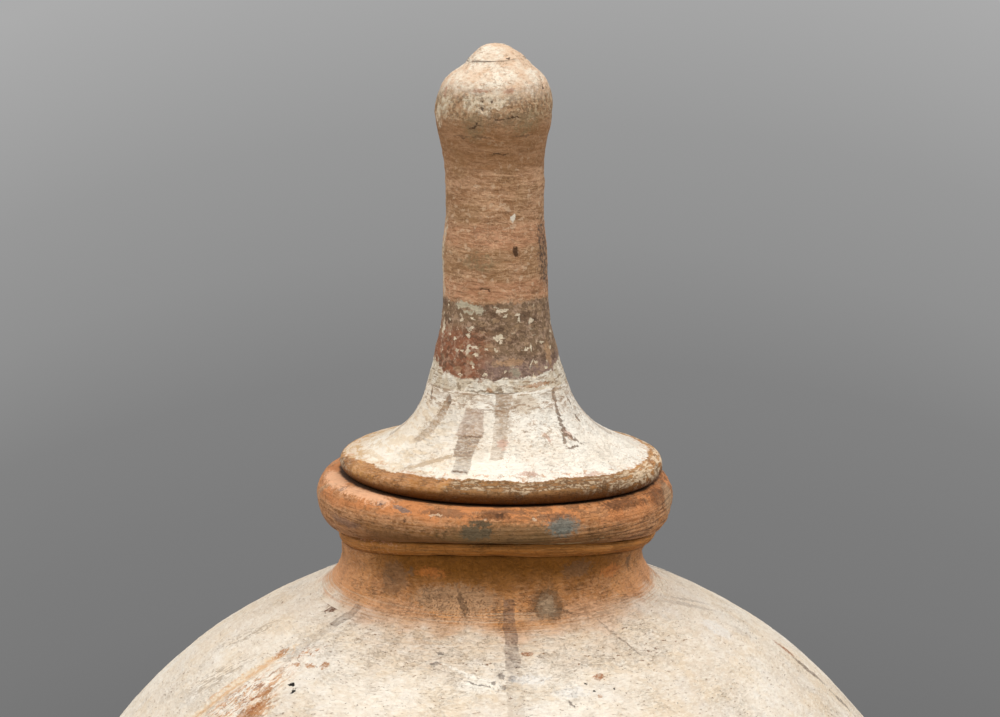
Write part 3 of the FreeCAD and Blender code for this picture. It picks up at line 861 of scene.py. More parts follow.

# Heights on the grip: two pinker belts, the brown belt of painted shade under the knob and the speckled
# one over it, where the cream comes in, the painted band, where its red and its violet come in, and
# where its foot ends.
PINK_BELTS = [(459.5, 467), (441, 448)]
KNOB_SHADE_BELT, SPECKLED_BELT, CREAM_IN = (486, 502.5), (503, 514.5), (508, 516.5)
PAINTED_BAND, RED_IN, VIOLET_IN, BAND_END = (411, 440.5), (434, 428), (424, 418), (415.6, 414.8)


def slip_coat(f, seed, stained, crumbly):
    """Cream slip: broad pale and dull patches, yellow stains, small mottling, marks of the brush round the
    wheel, and crumbs, cracks, brown dashes and dots that gather in places and where it is crumbly."""
    colour = f.blend(f.patches(60, 0.5, seed, 4, 0.6, 1.5), CREAM, DULL_CREAM)
    colour = f.layered(colour, [
        (STAINED_CREAM, stained, f.patches, 14, 0.3, seed + 1, 5, 0.65, 1.0),
        (BLUISH, 0.25, f.patches, 18, 0.25, seed + 2, 5, 0.65, 1.0),
        (BEIGE, 0.22, f.patches, (7, 4.5), 0.4, seed + 11, 4, 0.65, 0.8),
        (BEIGE, 0.14, f.patches, (3.0, 2.4), 0.4, seed + 3, 5, 0.7, 0.6),
        (BEIGE, 0.07, f.patches, (16, 1.2), 0.3, seed + 4),
        ((241, 234, 219), 0.32, f.patches, (2.2, 1.8), 0.35, seed + 5, 4, 0.7, 0.5),
    ])
    busy = 0.25 + f.either(f.patches(24, 0.3, seed + 6, 2, soft=1.2) * 0.5, crumbly) * 0.55
    crumbs = f.chips((2.2, 1.6), 0.16, seed + 14) * busy
    colour = f.blend(crumbs * 0.3, colour, f.blend(f.patches(6, 0.5, seed + 15, 2), IVORY, BEIGE))
    cracks = f.cracks((3.0, 1.8), 0.35, seed + 16) * busy
    colour = f.blend(cracks * 0.4, colour, (182, 150, 114))
    dashes = f.patches((2.1, 1.3), 0.022, seed + 7, 3, 0.6, 0.15) * (busy + 0.15)
    dots = f.patches(1.2, 0.004, seed + 8, 2, 0.6, 0.2)
    colour = f.blend(dashes, colour, (126, 84, 54))
    colour = f.blend(dots * 0.8, colour, DARK_BROWN)
    height = f.noise(1.7, seed + 9, 5, 0.7) * (0.3 + busy * 0.55) + f.noise((16, 1.0), seed + 10, 2) * 0.06
    height = height + f.plates((3.4, 2.2), seed + 12) * busy * 0.2
    return colour, height - dashes * 0.25 - cracks * 0.15


def clay_coat(f, seed, light, dark, lines):
    """Bare clay: warm patches, fine lines of the wheel, small brown mottling, dark and light flecks."""
    colour = f.blend(f.patches(18, 0.5, seed, 4, 0.6, 1.2), light, dark)
    colour = f.layered(colour, [
        (BROWN, lines, f.patches, (24, 1.3), 0.35, seed + 1, 4, 0.6),
        (TAN, lines, f.patches, (16, 0.8), 0.3, seed + 2, 4, 0.6),
        (BROWN, 0.3, f.patches, 3.2, 0.35, seed + 3, 5, 0.65, 0.9),
        (TAN, 0.3, f.patches, 2.2, 0.3, seed + 8, 4, 0.65, 0.8),
        ((232, 186, 140), 0.25, f.patches, (2.0, 1.0), 0.25, seed + 5, 4, 0.7, 0.3),
    ])
    flecks = f.either(f.patches((1.8, 0.9), 0.04, seed + 4, 2, soft=0.3), f.cracks((4, 1.6), 0.3, seed + 9))
    colour = f.blend(flecks * 0.45, colour, DARK_BROWN)
    height = f.noise((26, 0.8), seed + 6, 2) * (0.2 + lines) + f.noise(1.5, seed + 7, 5, 0.7) * 0.8
    return colour, height - flecks * 0.2


def body_finish(name, is_neck):
    """The body in cream slip and the neck in bare clay: both fade into each other at the neck's foot, and
    stripes, stains, scratches and bared clay run over them."""
    f = Finish(name, JAR_SIDE, jar_bend)
    fade = f.z + f.stray(9, 12, 30, 4)
    near = f.off_front(70, 40)
    colour, height = slip_coat(f, 1, 0.3, f.mask(fade, NECK_FOOT - 13, NECK_FOOT - 5) * near)
    mottled = 0.45 + f.patches((5, 2), 0.5, 36, 4, 0.65, 0.8) * 0.4
    front = f.off_front(55, 25)
    soiled = f.mask(fade, NECK_FOOT - 12, NECK_FOOT + 2) * mottled * (0.1 + front * 0.7)
    colour = f.blend(soiled, colour, (204, 172, 138))
    colour = f.blend(f.mask(fade, NECK_FOOT - 2.0, NECK_FOOT + 1.0) * near * 0.5, colour, (206, 154, 112))
    if is_neck:
        clay, clay_height = clay_coat(f, 20, (214, 150, 92), (190, 130, 78), 0.12)
        sides = f.off_front(40, 75) * f.mask(f.z, NECK_FOOT + 16, NECK_FOOT + 6)
        clay = f.blend(sides * 0.6, clay, (226, 162, 112))
        # Darker brown towards the top of the neck, under the roll, and less so at the sides: painted shade
        # under the rim.
        shade_under_rim = f.mask(f.z + f.stray(8, 9, 31), NECK_FOOT + 7, NECK_FOOT + 18)
        ends = f.either(f.mask(f.azimuth, -35, -65), f.mask(f.azimuth, 40, 75) * 0.85)
        clay = f.blend(shade_under_rim * (0.95 - ends * 0.8), clay, (130, 80, 18))
        rings = f.patches((60, 0.45), 0.3, 32, 1, soft=0.6) * f.mask(f.z, NECK_FOOT + 8, NECK_FOOT + 3)
        clay = f.blend(rings * 0.5, clay, (232, 204, 172))
        lower = fade + f.spot(*BARE_TONGUE) * 2.6
        bare = f.mask(lower + f.stray(6, (30, 0.9), 33, 4), NECK_FOOT + 0.2, NECK_FOOT + 5.4)
        colour = f.blend(bare, colour, clay)
        height = height + bare * (clay_height - 0.1)
        colour = f.marked(colour, NECK_MARKS)
        specks = f.spot(*SPECKLED_SPOT) * f.patches(0.7, 0.16, 34, 2, soft=0.5)
        colour = f.blend(specks * 0.55, colour, (88, 58, 36))
        colour = f.marked(colour, JAR_STRIPES, 0.7 + f.patches(1.8, 0.6, 35, 4, 0.6, 0.8) * 0.3)
        return f.close(colour, 0.75 - bare * 0.2, height)
    colour = f.marked(colour, JAR_STRIPES, 0.6 + f.patches(1.8, 0.6, 35, 4, 0.6, 0.8) * 0.4)
    rings = f.patches((90, 1.6), 0.35, 37, 2, 0.6) * f.mask(f.z, 300, 240)
    colour = f.blend(rings * 0.3, colour, BEIGE)
    dirt = f.mask(f.z + f.stray(60, 16, 38, 4), 70, 20)
    colour = f.blend(dirt * 0.6, colour, (190, 158, 124))
    rubbed = f.window(f.z, 150, 215, 30) * f.patches((7, 4), 0.12, 39, 5, 0.7, 0.3)
    colour = f.blend(rubbed * 0.6, colour, TAN)
    bared = f.scattered(BODY_SCRAPES)
    under_slip = f.blend(f.patches(2.2, 0.4, 40, 3), (198, 144, 98), (150, 98, 60))
    colour = f.blend(bared * 0.8, colour, under_slip)
    colour = f.blend(f.scattered(BODY_STROKES) * 0.6, colour, (156, 136, 114))
    colour = f.blend(f.flakes(*BODY_CHALK) * 0.5, colour, IVORY)
    colour = f.marked(colour, BODY_MARKS, 0.6 + f.patches(1.6, 0.6, 41, 4, 0.7, 0.5) * 0.4)
    colour = f.marked(colour, [((22, 17, 14), 1.0, JAR_DOTS)])
    return f.close(colour, 0.75, height - rubbed * 0.15)


def rim_finish():
    """The rim: brown clay with fine grooves, orange near the lid, smoke stains and rubbed places, painted
    shade on the roll's underside, near-black painted shade in the creases under the roll, painted shadow
    where the lid sits, and a pale patch of painted light on the seat's left."""
    f = Finish("rim_clay", JAR_SIDE, jar_bend, climbs=0.0)
    colour, height = clay_coat(f, 40, (172, 114, 64), (130, 86, 46), 0.45)
    colour = f.blend(f.patches((9, 1.0), 0.3, 49, 5, 0.7, 0.4) * 0.45, colour, (208, 152, 106))
    top = f.mask(f.z + f.stray(7, 7, 50, 4), RIM_FOOT + 13.5, RIM_FOOT + 18)
    orange = f.patches(7, 0.6, 52, 5, 0.7, 0.5)
    colour = f.blend(top * (0.3 + orange * 0.5), colour, (208, 134, 80))
    dirt = f.patches((6, 2.2), 0.35, 53, 5, 0.7, 0.3) * f.mask(f.z, RIM_FOOT + 12, RIM_FOOT + 19)
    colour = f.blend(dirt * f.mask(f.azimuth, -20, 10) * 0.6, colour, (126, 88, 58))
    # Darker brown towards the roll's underside, fading out at the sides: painted shade under the roll.
    low = f.mask(f.z + f.stray(4, 8, 54, 3), RIM_FOOT + 16.5, RIM_FOOT + 9.5) * f.mask(f.x, 52, 32)
    colour = f.blend(low * f.mask(f.x, -52, -36) * 0.7, colour, (104, 72, 34))
    grooves = f.mask(f.maths("COSINE", f.z * (2 * math.pi / GROOVE_SPACING)), -0.4, -1.0)
    grooves = grooves * f.window(f.azimuth, *GROOVES_ROUND, GROOVES_FADE) * f.window(f.z, *GROOVES_UP, 0.8)
    colour = f.blend(grooves * f.patches((9, 0.8), 0.5, 55, 3) * 0.6, colour, DARK_BROWN)
    band = f.mask(f.z, RIM_FOOT + 5.3, RIM_FOOT + 4.8)
    golden = f.blend(f.mask(f.z, RIM_FOOT + 1.0, RIM_FOOT + 4.5), (174, 110, 44), (206, 138, 68))
    golden = f.layered(golden, [
        ((112, 72, 30), 0.45, f.patches, (12, 0.5), 0.4, 56, 4, 0.65, 0.4),
        ((206, 150, 92), 0.4, f.patches, (7, 0.4), 0.25, 57, 4, 0.65, 0.4),
    ])
    colour = f.blend(band * 0.85, colour, golden)
    colour = f.marked(colour, RIM_MARKS)
    # Near-black lines in the two creases under the roll, and near black on the seat round the lid's edge:
    # painted shade in the creases and painted shadow of the lid.
    crease_shade = f.either(f.window(f.z, RIM_FOOT - 1, RIM_FOOT + 0.15, 0.12) * 0.6,
                      f.window(f.z, RIM_FOOT + 4.85, RIM_FOOT + 5.15, 0.15))
    from_lid = f.radius - f.x * (LID_AXIS / MOUTH_RADIUS) + f.stray(2, 5, 51, 3)
    lid_gap_shadow = f.mask(from_lid, *LID_SHADOW_RADII) * f.mask(f.z, SEAT - 2, SEAT - 0.8)
    colour = f.blend(f.either(crease_shade, lid_gap_shadow) * 0.9, colour, NEARLY_BLACK)
    return f.close(colour, 0.65, height)


def skirt_finish():
    """The skirt: cream slip with painted stripes that fan out, a stained ridge, and bare clay along the
    flange's edge, ochre on the left and smeared with pale slip on the right. The slip darkens to the left,
    partly stains and partly painted shade, and the flange darkens towards its lower edge as painted shade,
    near black where it meets the seat."""
    f = Finish("slipped_lid", LID_SIDE, lid_bend)
    slip, slip_height = slip_coat(f, 60, 0.2, f.mask(f.x, -5, 30) * 0.5)
    slip = f.blend(0.35 + f.patches(20, 0.6, 79, soft=1.0) * 0.35, slip, IVORY)
    worn = 0.55 + f.patches((1.6, 1.0), 0.6, 68, 4, 0.65, 0.6) * 0.45
    stains_and_left_shade = 0.15 + f.patches((9, 4), 0.4, 99, 5, 0.7, 0.6) * 0.45
    # Warmer, darker slip to the left in patches, strongest at the left tip: partly stains, partly painted
    # shade.
    slip = f.blend(f.mask(f.x, 5, -30) * stains_and_left_shade, slip, (218, 192, 156))
    left_tip = f.mask(f.azimuth, -60, -82) * f.mask(f.radius, 42, 50)
    slip = f.blend(left_tip * (stains_and_left_shade + 0.3), slip, (196, 158, 112))
    slip = f.marked(slip, SKIRT_STRIPES, worn)
    slip = f.marked(slip, SKIRT_MARKS)
    slip = f.blend(f.scattered(SKIRT_SMEARS) * 0.6, slip, (166, 138, 110))
    under_ridge = f.window(f.z, STEM_FOOT - 7.0, STEM_FOOT - 2.5, 1.5)
    under_ridge = under_ridge * f.patches((3, 1.2), 0.3, 77, 5, 0.7, 0.4)
    slip = f.blend(under_ridge * 0.65, slip, (146, 108, 74))
    ridge = f.mask(f.z, STEM_FOOT - 3.5, STEM_FOOT - 0.5)
    slip = f.blend(ridge * f.patches((5, 1.2), 0.45, 78, 5, 0.7, 0.4) * 0.8, slip, (160, 132, 104))

    clay, clay_height = clay_coat(f, 80, (198, 142, 78), (172, 114, 54), 0.25)
    # The flange darker towards its lower edge, except on the left: painted shade.
    low = f.mask(f.z + f.stray(2, 6, 95, 3), LID_FOOT + 5.0, LID_FOOT + 1.5)
    clay = f.blend(low * f.mask(f.azimuth, -80, -55) * 0.8, clay, (122, 70, 12))
    right = f.mask(f.azimuth + f.stray(60, 10, 90, 4), -28, -12)
    clay = f.blend(right * f.mask(f.azimuth, 75, 40) * 0.7, clay, (132, 94, 56))
    edge = SLIP_RADIUS + f.mask(f.azimuth, -60, -90) * 4.6 + f.mask(f.x, 20, 50) * 3.8
    edge = edge + f.stray(5, 9, 91, 3) + f.stray(3.5, 1.8, 92, 4, 0.65)
    past = f.radius - edge
    smear = f.patches((5, 1.6), 0.58, 93, 5, 0.7, 0.4) * f.window(past, 0.9, 6.6, 0.6)
    smear = smear * (0.1 + f.either(right, f.mask(f.azimuth, -62, -80)) * 0.8)
    far_right = f.mask(f.azimuth + f.stray(30, 10, 97, 3), 40, 65)
    crust = f.blend(f.patches(1.6, 0.5, 96, 4, 0.7, 0.4), (196, 170, 138), (120, 90, 60))
    clay = f.blend(smear, clay, f.blend(far_right * 0.85, crust, (240, 212, 176)))
    # The flange's lower edge turns dark brown, reaching higher in front, and near black at the very bottom:
    # painted shade over the gap on the seat.
    middle = f.mask(f.maths("ABSOLUTE", f.azimuth - 2.0), 50, 20) * 1.4
    foot = f.mask(f.z - middle, LID_FOOT + 4.2, LID_FOOT + 1.1)
    clay = f.blend(foot * 0.9, clay, (88, 46, 4))
    clay = f.blend(f.mask(f.z, LID_FOOT + 0.6, LID_FOOT + 0.1), clay, NEARLY_BLACK)
    bare = f.mask(past, -0.35, 0.35)
    slip = f.blend(f.window(past, -3.0, -0.3, 0.8) * f.patches(2.4, 0.14, 94, 4, 0.7) * 0.7, slip, TAN)
    slip = f.blend(f.cracks(7, 0.35, 98, 0.012) * 0.5, slip, (178, 142, 108))
    colour = f.blend(bare, slip, clay)
    height = slip_height * (1 - bare) + bare * (clay_height + smear * 0.3 - 0.3)
    return f.close(colour, 0.75 - bare * 0.22, height)


def grip_finish():
    """The grip: brown clay rubbed along the wheel, cream at the top, speckled below it, and at its foot
    a dark painted band, chipped, that ends raggedly over the cream slip of the ridge."""
    f = Finish("worn_clay", LID_SIDE, lid_bend)
    wander = f.stray(9, 9, 100, 4)
    colour = f.blend(f.patches((14, 2.2), 0.5, 101, 5, 0.65, 0.9), (196, 152, 116), (168, 124, 88))
    colour = f.blend(f.patches(12, 0.4, 102, 3, soft=1.0) * 0.45, colour, (156, 122, 84))
    pink = f.strongest(f.window(f.z + wander * 0.4, *belt, 1.5) for belt in PINK_BELTS)
    colour = f.blend(pink * 0.55, colour, (206, 148, 112))
    colour = f.layered(colour, [
        ((132, 92, 56), 0.4, f.patches, (5, 1.3), 0.35, 103, 5, 0.7, 0.7),
        ((220, 178, 138), 0.35, f.patches, (2.8, 0.9), 0.3, 104, 4, 0.7, 0.4),
        ((122, 84, 54), 0.5, f.patches, (7, 0.6), 0.12, 121, 3, 0.6, 0.4),
        ((214, 180, 146), 0.3, f.patches, (0.7, 4), 0.05, 122, 2, 0.6, 0.4),
        ((106, 72, 46), 0.4, f.cracks, (3.6, 1.8), 0.5, 128),
        ((226, 186, 148), 0.4, f.cracks, (4.4, 2.2), 0.4, 130),
        ((226, 196, 164), 0.4, f.chips, (1.4, 1.0), 0.05, 123),
    ])
    # A brown belt just under the knob's widest: painted shade under the knob.
    shade_under_knob = f.window(f.z + wander * 0.4, *KNOB_SHADE_BELT, 3)
    colour = f.blend(shade_under_knob * 0.55, colour, (140, 98, 60))
    speckled = f.window(f.z + wander * 0.5, *SPECKLED_BELT, 3)
    colour = f.blend(speckled * 0.4, colour, (170, 140, 106))
    colour = f.blend(speckled * f.patches(1.6, 0.35, 105, 4, 0.7, 0.3) * 0.6, colour, (204, 180, 146))
    colour = f.blend(speckled * f.patches(1.4, 0.32, 106, 4, 0.7, 0.3) * 0.65, colour, (108, 84, 60))
    pale = f.mask(f.z + wander * 0.6 + f.stray(9, 1.8, 107, 5, 0.65), *CREAM_IN)
    cream = f.blend(f.patches(9, 0.4, 108, 4, 0.6, 1.3), (246, 232, 210), (234, 204, 174))
    cream = f.layered(cream, [
        (TAN, 0.4, f.patches, (2.0, 1.4), 0.3, 109, 5, 0.7, 0.4),
        ((150, 112, 80), 0.5, f.cracks, 3.0, 0.5, 133),
    ])
    colour = f.blend(pale, colour, cream)
    colour = f.marked(colour, GRIP_PATCHES, 0.25 + f.patches(1.4, 0.5, 110, 4, 0.7, 0.5) * 0.75)
    colour = f.marked(colour, GRIP_MARKS)

    band = f.window(f.z + wander * 0.5 + f.stray(4, 1.6, 120, 4, 0.65), *PAINTED_BAND, 0.6)
    tone = f.blend(f.mask(f.x, 2, -9) * f.mask(f.z, *RED_IN), (140, 114, 88), (156, 100, 72))
    violet = f.mask(f.z + wander * 0.3, *VIOLET_IN) * f.mask(f.x, -8, -2)
    tone = f.blend(violet * 0.6, tone, (158, 132, 126))
    tone = f.layered(tone, [
        ((98, 74, 60), 0.3, f.patches, 2.6, 0.4, 111, 5, 0.7, 0.5),
        ((198, 166, 140), 0.5, f.patches, 2.0, 0.3, 112, 4, 0.7, 0.4),
    ])
    dip = f.off_front(45, 80) * 4.0
    edge = f.z - dip + f.stray(6, 4, 113, 5, 0.65)
    tone = f.layered(tone, [
        ((94, 70, 54), 0.6, f.chips, (2.6, 1.8), 0.12, 124),
        ((178, 146, 112), 0.5, f.chips, (2.2, 1.6), 0.1, 125),
    ])
    chips = f.chips((1.7, 1.1), 0.07, 114) * f.patches(7, 0.55, 126, 2)
    tone = f.blend(f.cracks(3.0, 0.5, 132) * 0.6, tone, (66, 48, 36))
    tone = f.blend(chips, tone, (236, 218, 188))
    colour = f.blend(band * 0.92, colour, tone)
    foot = f.mask(edge, *BAND_END)
    slip = f.blend(f.patches(4, 0.45, 115, 4, 0.6, 0.9), (240, 228, 208), (216, 198, 172))
    slip = f.blend(f.patches((4, 1.2), 0.2, 116, 5, 0.7, 0.4) * 0.7, slip, (150, 118, 86))
    colour = f.blend(foot, colour, slip)
    colour = f.marked(colour, BAND_MARKS)
    seam = f.window(f.z, KNOB_TOP - 0.25, KNOB_TOP + 0.1, 0.12) * f.patches((5, 3), 0.5, 117, 2)
    colour = f.blend(seam * 0.6, colour, DARK_BROWN)
    height = f.noise((16, 0.8), 118, 2) * (0.2 - band * 0.1) + f.noise(1.5, 119, 5, 0.7) * 1.1
    height = height + f.plates((3.0, 1.5), 127) * (0.06 + band * 0.14)
    return f.close(colour, 0.75, height + foot * 0.15 - chips * band * 0.2)


def hidden_finish():
    """Bare clay that nobody slipped or rubbed: foot ring and locating ring."""
    f = Finish("bare_clay", JAR_SIDE, jar_bend, climbs=0.0)
    colour, height = clay_coat(f, 130, (196, 138, 94), (176, 120, 80), 0.3)
    return f.close(colour, 0.85, height)


# Painted stripes: tone, strength, and for each the upper and lower end as (azimuth, height) and its half
# widths there in millimetres.
JAR_STRIPES = [
    ((104, 82, 72), 0.56, [((6.5, 346.2), (5.3, 329.5), (1.9, 2.7))]),
    ((112, 90, 74), 0.5, [
        ((-51.2, 339.8), (-51.8, 334.2), (2, 2.3)), ((36.6, 338.1), (39.6, 328.9), (0.5, 0.4)),
        ((118, 344), (116, 326), (1.6, 2.4)), ((176, 345), (178, 322), (1.7, 2.6)),
        ((-122, 345), (-119, 327), (1.5, 2.3))]),
    ((112, 90, 74), 0.22, [
        ((-51.8, 334.8), (-53.5, 324.6), (2.3, 2.8)), ((5.3, 329.5), (5, 316), (2.4, 3)),
        ((116, 326), (114, 305), (2.4, 3.2)), ((178, 322), (180, 300), (2.6, 3.4))]),
]
SKIRT_STRIPES = [
    ((142, 110, 78), 0.72, [((-42.4, 407.2), (-46, 402), (1.7, 1.9)), ((6, 411), (3.6, 403), (2.6, 2.6))]),
    ((164, 138, 112), 0.55, [
        ((-46, 402.2), (-54.9, 393.6), (1.9, 2.6)), ((3.6, 403.2), (-1, 390.6), (2.6, 2.4))]),
    ((162, 132, 112), 0.68, [((-17.1, 405.5), (-18.3, 396.6), (3.3, 4.9))]),
    ((126, 100, 80), 0.78, [((-18.1, 396.8), (-17.9, 390.8), (4.1, 3.5))]),
    ((140, 124, 108), 0.6, [((-17, 391), (-15.8, 387.2), (2.9, 2.8))]),
    ((150, 124, 102), 0.5, [
        ((96, 409), (94, 390), (2.2, 3.2)), ((128, 410), (127, 388), (2.4, 3.6)),
        ((163, 409), (166, 390), (2, 3)), ((-160, 410), (-158, 387), (2.4, 3.6)),
        ((-124, 409), (-121, 389), (2.2, 3)), ((-92, 409), (-95, 391), (1.8, 2.4))]),
]

# Marks: tone, strength, and for each its azimuth, height, half size across, half size along, and the turn.
JAR_DOTS = [
    (-45.5, 320.7, 1.1, 0.9), (-43.5, 319.4, 0.9, 1.1), (21.4, 325.4, 0.5, 0.4), (22.2, 323.4, 0.8, 0.4),
    (27.1, 323, 0.45, 0.45),
]
BODY_MARKS = [
    ((222, 194, 158), 0.75, [(-59.4, 316, 2.8, 22, -16), (-57.2, 322.5, 2.2, 8, -16)]),
    ((208, 156, 108), 0.55, [
        (-57.4, 322, 1.2, 8, -16), (-60.2, 312, 1, 12, -16), (-61.6, 314, 0.5, 9, -16)]),
    ((170, 116, 70), 0.85, [
        (-56.6, 325.8, 1.8, 2.6, -16), (-50, 317.3, 2.2, 3, -20), (-48.4, 314.6, 2.2, 3.4, -20),
        (-49.4, 311.4, 3, 5, -30), (-48.9, 324.9, 1.5, 1), (-45, 325.6, 2.2, 1), (-41.3, 326.4, 1.7, 1.6),
        (23, 322.1, 0.7, 0.5, 60)]),
    ((150, 92, 50), 0.85, [
        (89, 313.5, 2, 4.6), (9.4, 332.5, 2.1, 1), (25.1, 326.3, 1.7, 1.4), (-49.6, 313, 0.7, 3.4, -20),
        (-51.6, 314.8, 0.6, 2.4, -20)]),
    ((100, 60, 34), 1, [(-64.2, 338.4, 2.6, 3.2, -30), (-61, 336.8, 2, 3.2, -30)]),
    (IVORY, 0.6, [(-5.4, 328.2, 0.8, 9.5, 59), (-2, 326, 7, 3)]),
    ((120, 108, 98), 0.8, [
        (-3, 326.3, 0.4, 5, 70), (2.6, 328, 1.3, 1.5), (2.9, 325.6, 1.1, 1.1), (5, 327.2, 1.2, 1.1),
        (0.6, 326.6, 1.2, 0.8, 30), (-13.6, 332.6, 0.9, 0.9), (-13.9, 330.2, 1, 1.6, -30),
        (16.3, 320.8, 0.8, 1.8, 25), (87, 296.2, 1.6, 4.5)]),
    ((96, 74, 58), 0.8, [(87.5, 307.1, 2, 7)]),
    ((176, 160, 144), 0.6, [(79.5, 333, 1.5, 12, 43), (84, 333.6, 1, 9, 43)]),
    (BLUISH, 0.5, [(73, 328, 5, 6), (17, 323.5, 6, 2.5), (9, 327, 6, 2)]),
    ((196, 150, 108), 0.6, [
        (150, 265, 5, 9, 20), (-140, 300, 4, 6, -30), (-100, 210, 6, 4), (60, 190, 5, 8, 15),
        (200, 120, 6, 5), (20, 90, 7, 5)]),
]
BODY_SCRAPES = [
    (-54, 314, 8, 19, -20, (0.9, 3.2), 0.46, 131), (-48.5, 312, 4.5, 9, -25, (1.2, 2.6), 0.5, 132),
    (-50, 328, 3, 7, -60, (0.8, 2), 0.25, 133), (140, 250, 16, 26, 30, (0.9, 3.2), 0.25, 134),
    (-130, 220, 20, 14, 70, (0.9, 3.2), 0.22, 135),
]
BODY_STROKES = [(-67, 316, 6, 14, -28, (0.9, 4), 0.4, 136), (-76, 325, 4, 14, -34, (0.9, 4), 0.35, 137)]
NECK_MARKS = [
    ((226, 172, 130), 0.45, [(-36, 341.6, 14, 2.6), (34, 341.5, 9, 3)]),
    ((186, 152, 118), 0.55, [(-13, 346, 15, 4.6)]),
    ((122, 92, 66), 0.55, [(-39, 350.5, 5.5, 6), (33, 354, 6, 3)]),
    ((216, 128, 62), 0.4, [(50, 351.5, 5, 2), (-24, 353.5, 5, 1.6)]),
    ((104, 80, 56), 0.68, [(62, 353.8, 1.4, 3.2), (20.5, 343.9, 5.4, 5.6, 0, 0.3)]),
    ((190, 162, 130), 0.7, [(20, 343.6, 2.9, 3.3, 0, 0.6)]),
    ((112, 84, 60), 0.65, [
        (-10.6, 345.2, 0.9, 5.2, 20), (-41, 350.2, 0.4, 2.6, 70), (-31.5, 353, 1.2, 1.8),
        (26.6, 341.5, 0.7, 2, 50)]),
]
RIM_MARKS = [
    # Of the first row, the mark in front darkens the lower roll: painted shade under the roll.
    ((104, 80, 48), 0.68, [(2, 371, 20, 4.6), (130, 371, 12, 4), (-150, 372, 8, 4)]),
    ((218, 142, 88), 0.35, [(50, 373.5, 14, 2.4), (-62, 374, 6, 1.6)]),
    ((178, 150, 118), 0.55, [(78, 373, 6, 5), (-75, 376, 1.2, 7, -60)]),
    ((124, 96, 84), 0.5, [(-80, 366, 9, 3), (-55, 369, 9, 1.4)]),
    ((116, 116, 106), 0.92, [(22, 373.6, 5.8, 3.2, 0, 0.4)]),
    ((92, 80, 60), 0.85, [(-7, 372, 4, 2.4), (-4.5, 375.2, 3, 1), (-3, 372.4, 2.4, 2)]),
    ((120, 108, 100), 0.75, [
        (-62.5, 378.4, 2.2, 1.1, 30), (-40.5, 377.9, 1.9, 1.2), (-31.5, 377.4, 0.9, 3.6, 80)]),
    ((122, 88, 64), 0.6, [
        (43, 378.2, 6, 1.6), (3, 378.6, 9, 1), (-16, 377.8, 8, 1.8), (18, 376.8, 6, 1.2)]),
    ((226, 194, 160), 0.7, [(-19, 377, 2.4, 0.35, 10), (13, 376.4, 1.3, 0.4, 30), (-3, 376.4, 0.7, 0.35)]),
    # A pale orange patch on the left of the seat, by the flange's edge: painted light that lifts the shadow
    # of the flange there.
    ((240, 186, 146), 0.75, [(-50, 379.2, 13, 2.8), (-75, 379.2, 12, 3.2)]),
    ((100, 60, 32), 0.6, [(48, 377.4, 10, 2, -6), (68, 376, 7, 3), (0, 377.4, 5, 1.4)]),
    ((170, 156, 120), 0.55, [(18, 364.6, 18, 0.5)]),
    (DARK_BROWN, 0.7, [(-29, 374.2, 0.7, 0.5), (1.5, 377.6, 1.5, 0.6)]),
]
DOT_LINE = [(52.0 - 1.1 * step, 409.6 - 2.3 * step, 1.0, 1.2 + 0.4 * (step % 2)) for step in range(7)]
SKIRT_MARKS = [
    (BEIGE, 0.6, [(22, 407, 5, 3.5)]),
    ((190, 164, 134), 0.8, [(-35.5, 388.9, 1.5, 9.5, -55), (-36.5, 388.6, 1, 7, -55)]),
    ((196, 152, 130), 0.65, [
        (30.9, 396, 0.9, 2.2, 25), (47, 396, 1.4, 2.6, 15), (12, 387.6, 3, 1.2), (2, 395, 2, 2),
        (40, 386.6, 3, 1)]),
    ((112, 88, 68), 0.8, [
        *DOT_LINE, (42.6, 395.2, 0.7, 3.2, -22), (44, 392.4, 3.2, 0.6), (48.4, 395, 0.7, 3.6, 38),
        (-18, 396.8, 4, 0.35), (-66, 408, 0.6, 3, 14), (70, 405, 0.5, 1.6), (68.5, 399.5, 0.6, 1.4),
        (-41, 407.4, 1, 1.6, 20), (-17.5, 387.6, 3, 0.4)]),
]
SKIRT_SMEARS = [
    (20, 397, 16, 9, 0, (1.5, 0.9), 0.12, 141), (-26, 409, 6, 2, 0, (1.8, 0.7), 0.4, 142),
    (-50, 400, 3.5, 9, -20, (2.4, 0.8), 0.25, 143), (4, 404, 3.4, 7, 0, (1.4, 0.8), 0.4, 144),
    (70, 402, 8, 9, 0, (2, 0.8), 0.15, 145), (-18, 395, 6, 8, 0, (2.2, 0.6), 0.25, 146),
]
GRIP_PATCHES = [
    ((140, 122, 90), 0.55, [(-18, 454.5, 6, 3), (-20, 501, 4, 5), (30, 502.5, 7, 4)]),
    ((228, 212, 184), 0.75, [(-22, 509, 4, 3), (-58, 508, 3, 4), (-72, 504, 2.4, 4)]),
    ((236, 218, 190), 0.75, [(0, 510, 5, 2.4), (-8, 506.5, 2, 1.8)]),
    ((136, 108, 80), 0.6, [(6, 504, 9, 2.2), (-14, 501.6, 6, 1.6)]),
    ((222, 206, 178), 0.7, [(-81, 449, 2, 17, 3), (-77, 462, 1.4, 6, -6)]),
    ((96, 76, 62), 1, [(72, 456, 5, 12), (80, 449, 3, 6, 10)]),
]
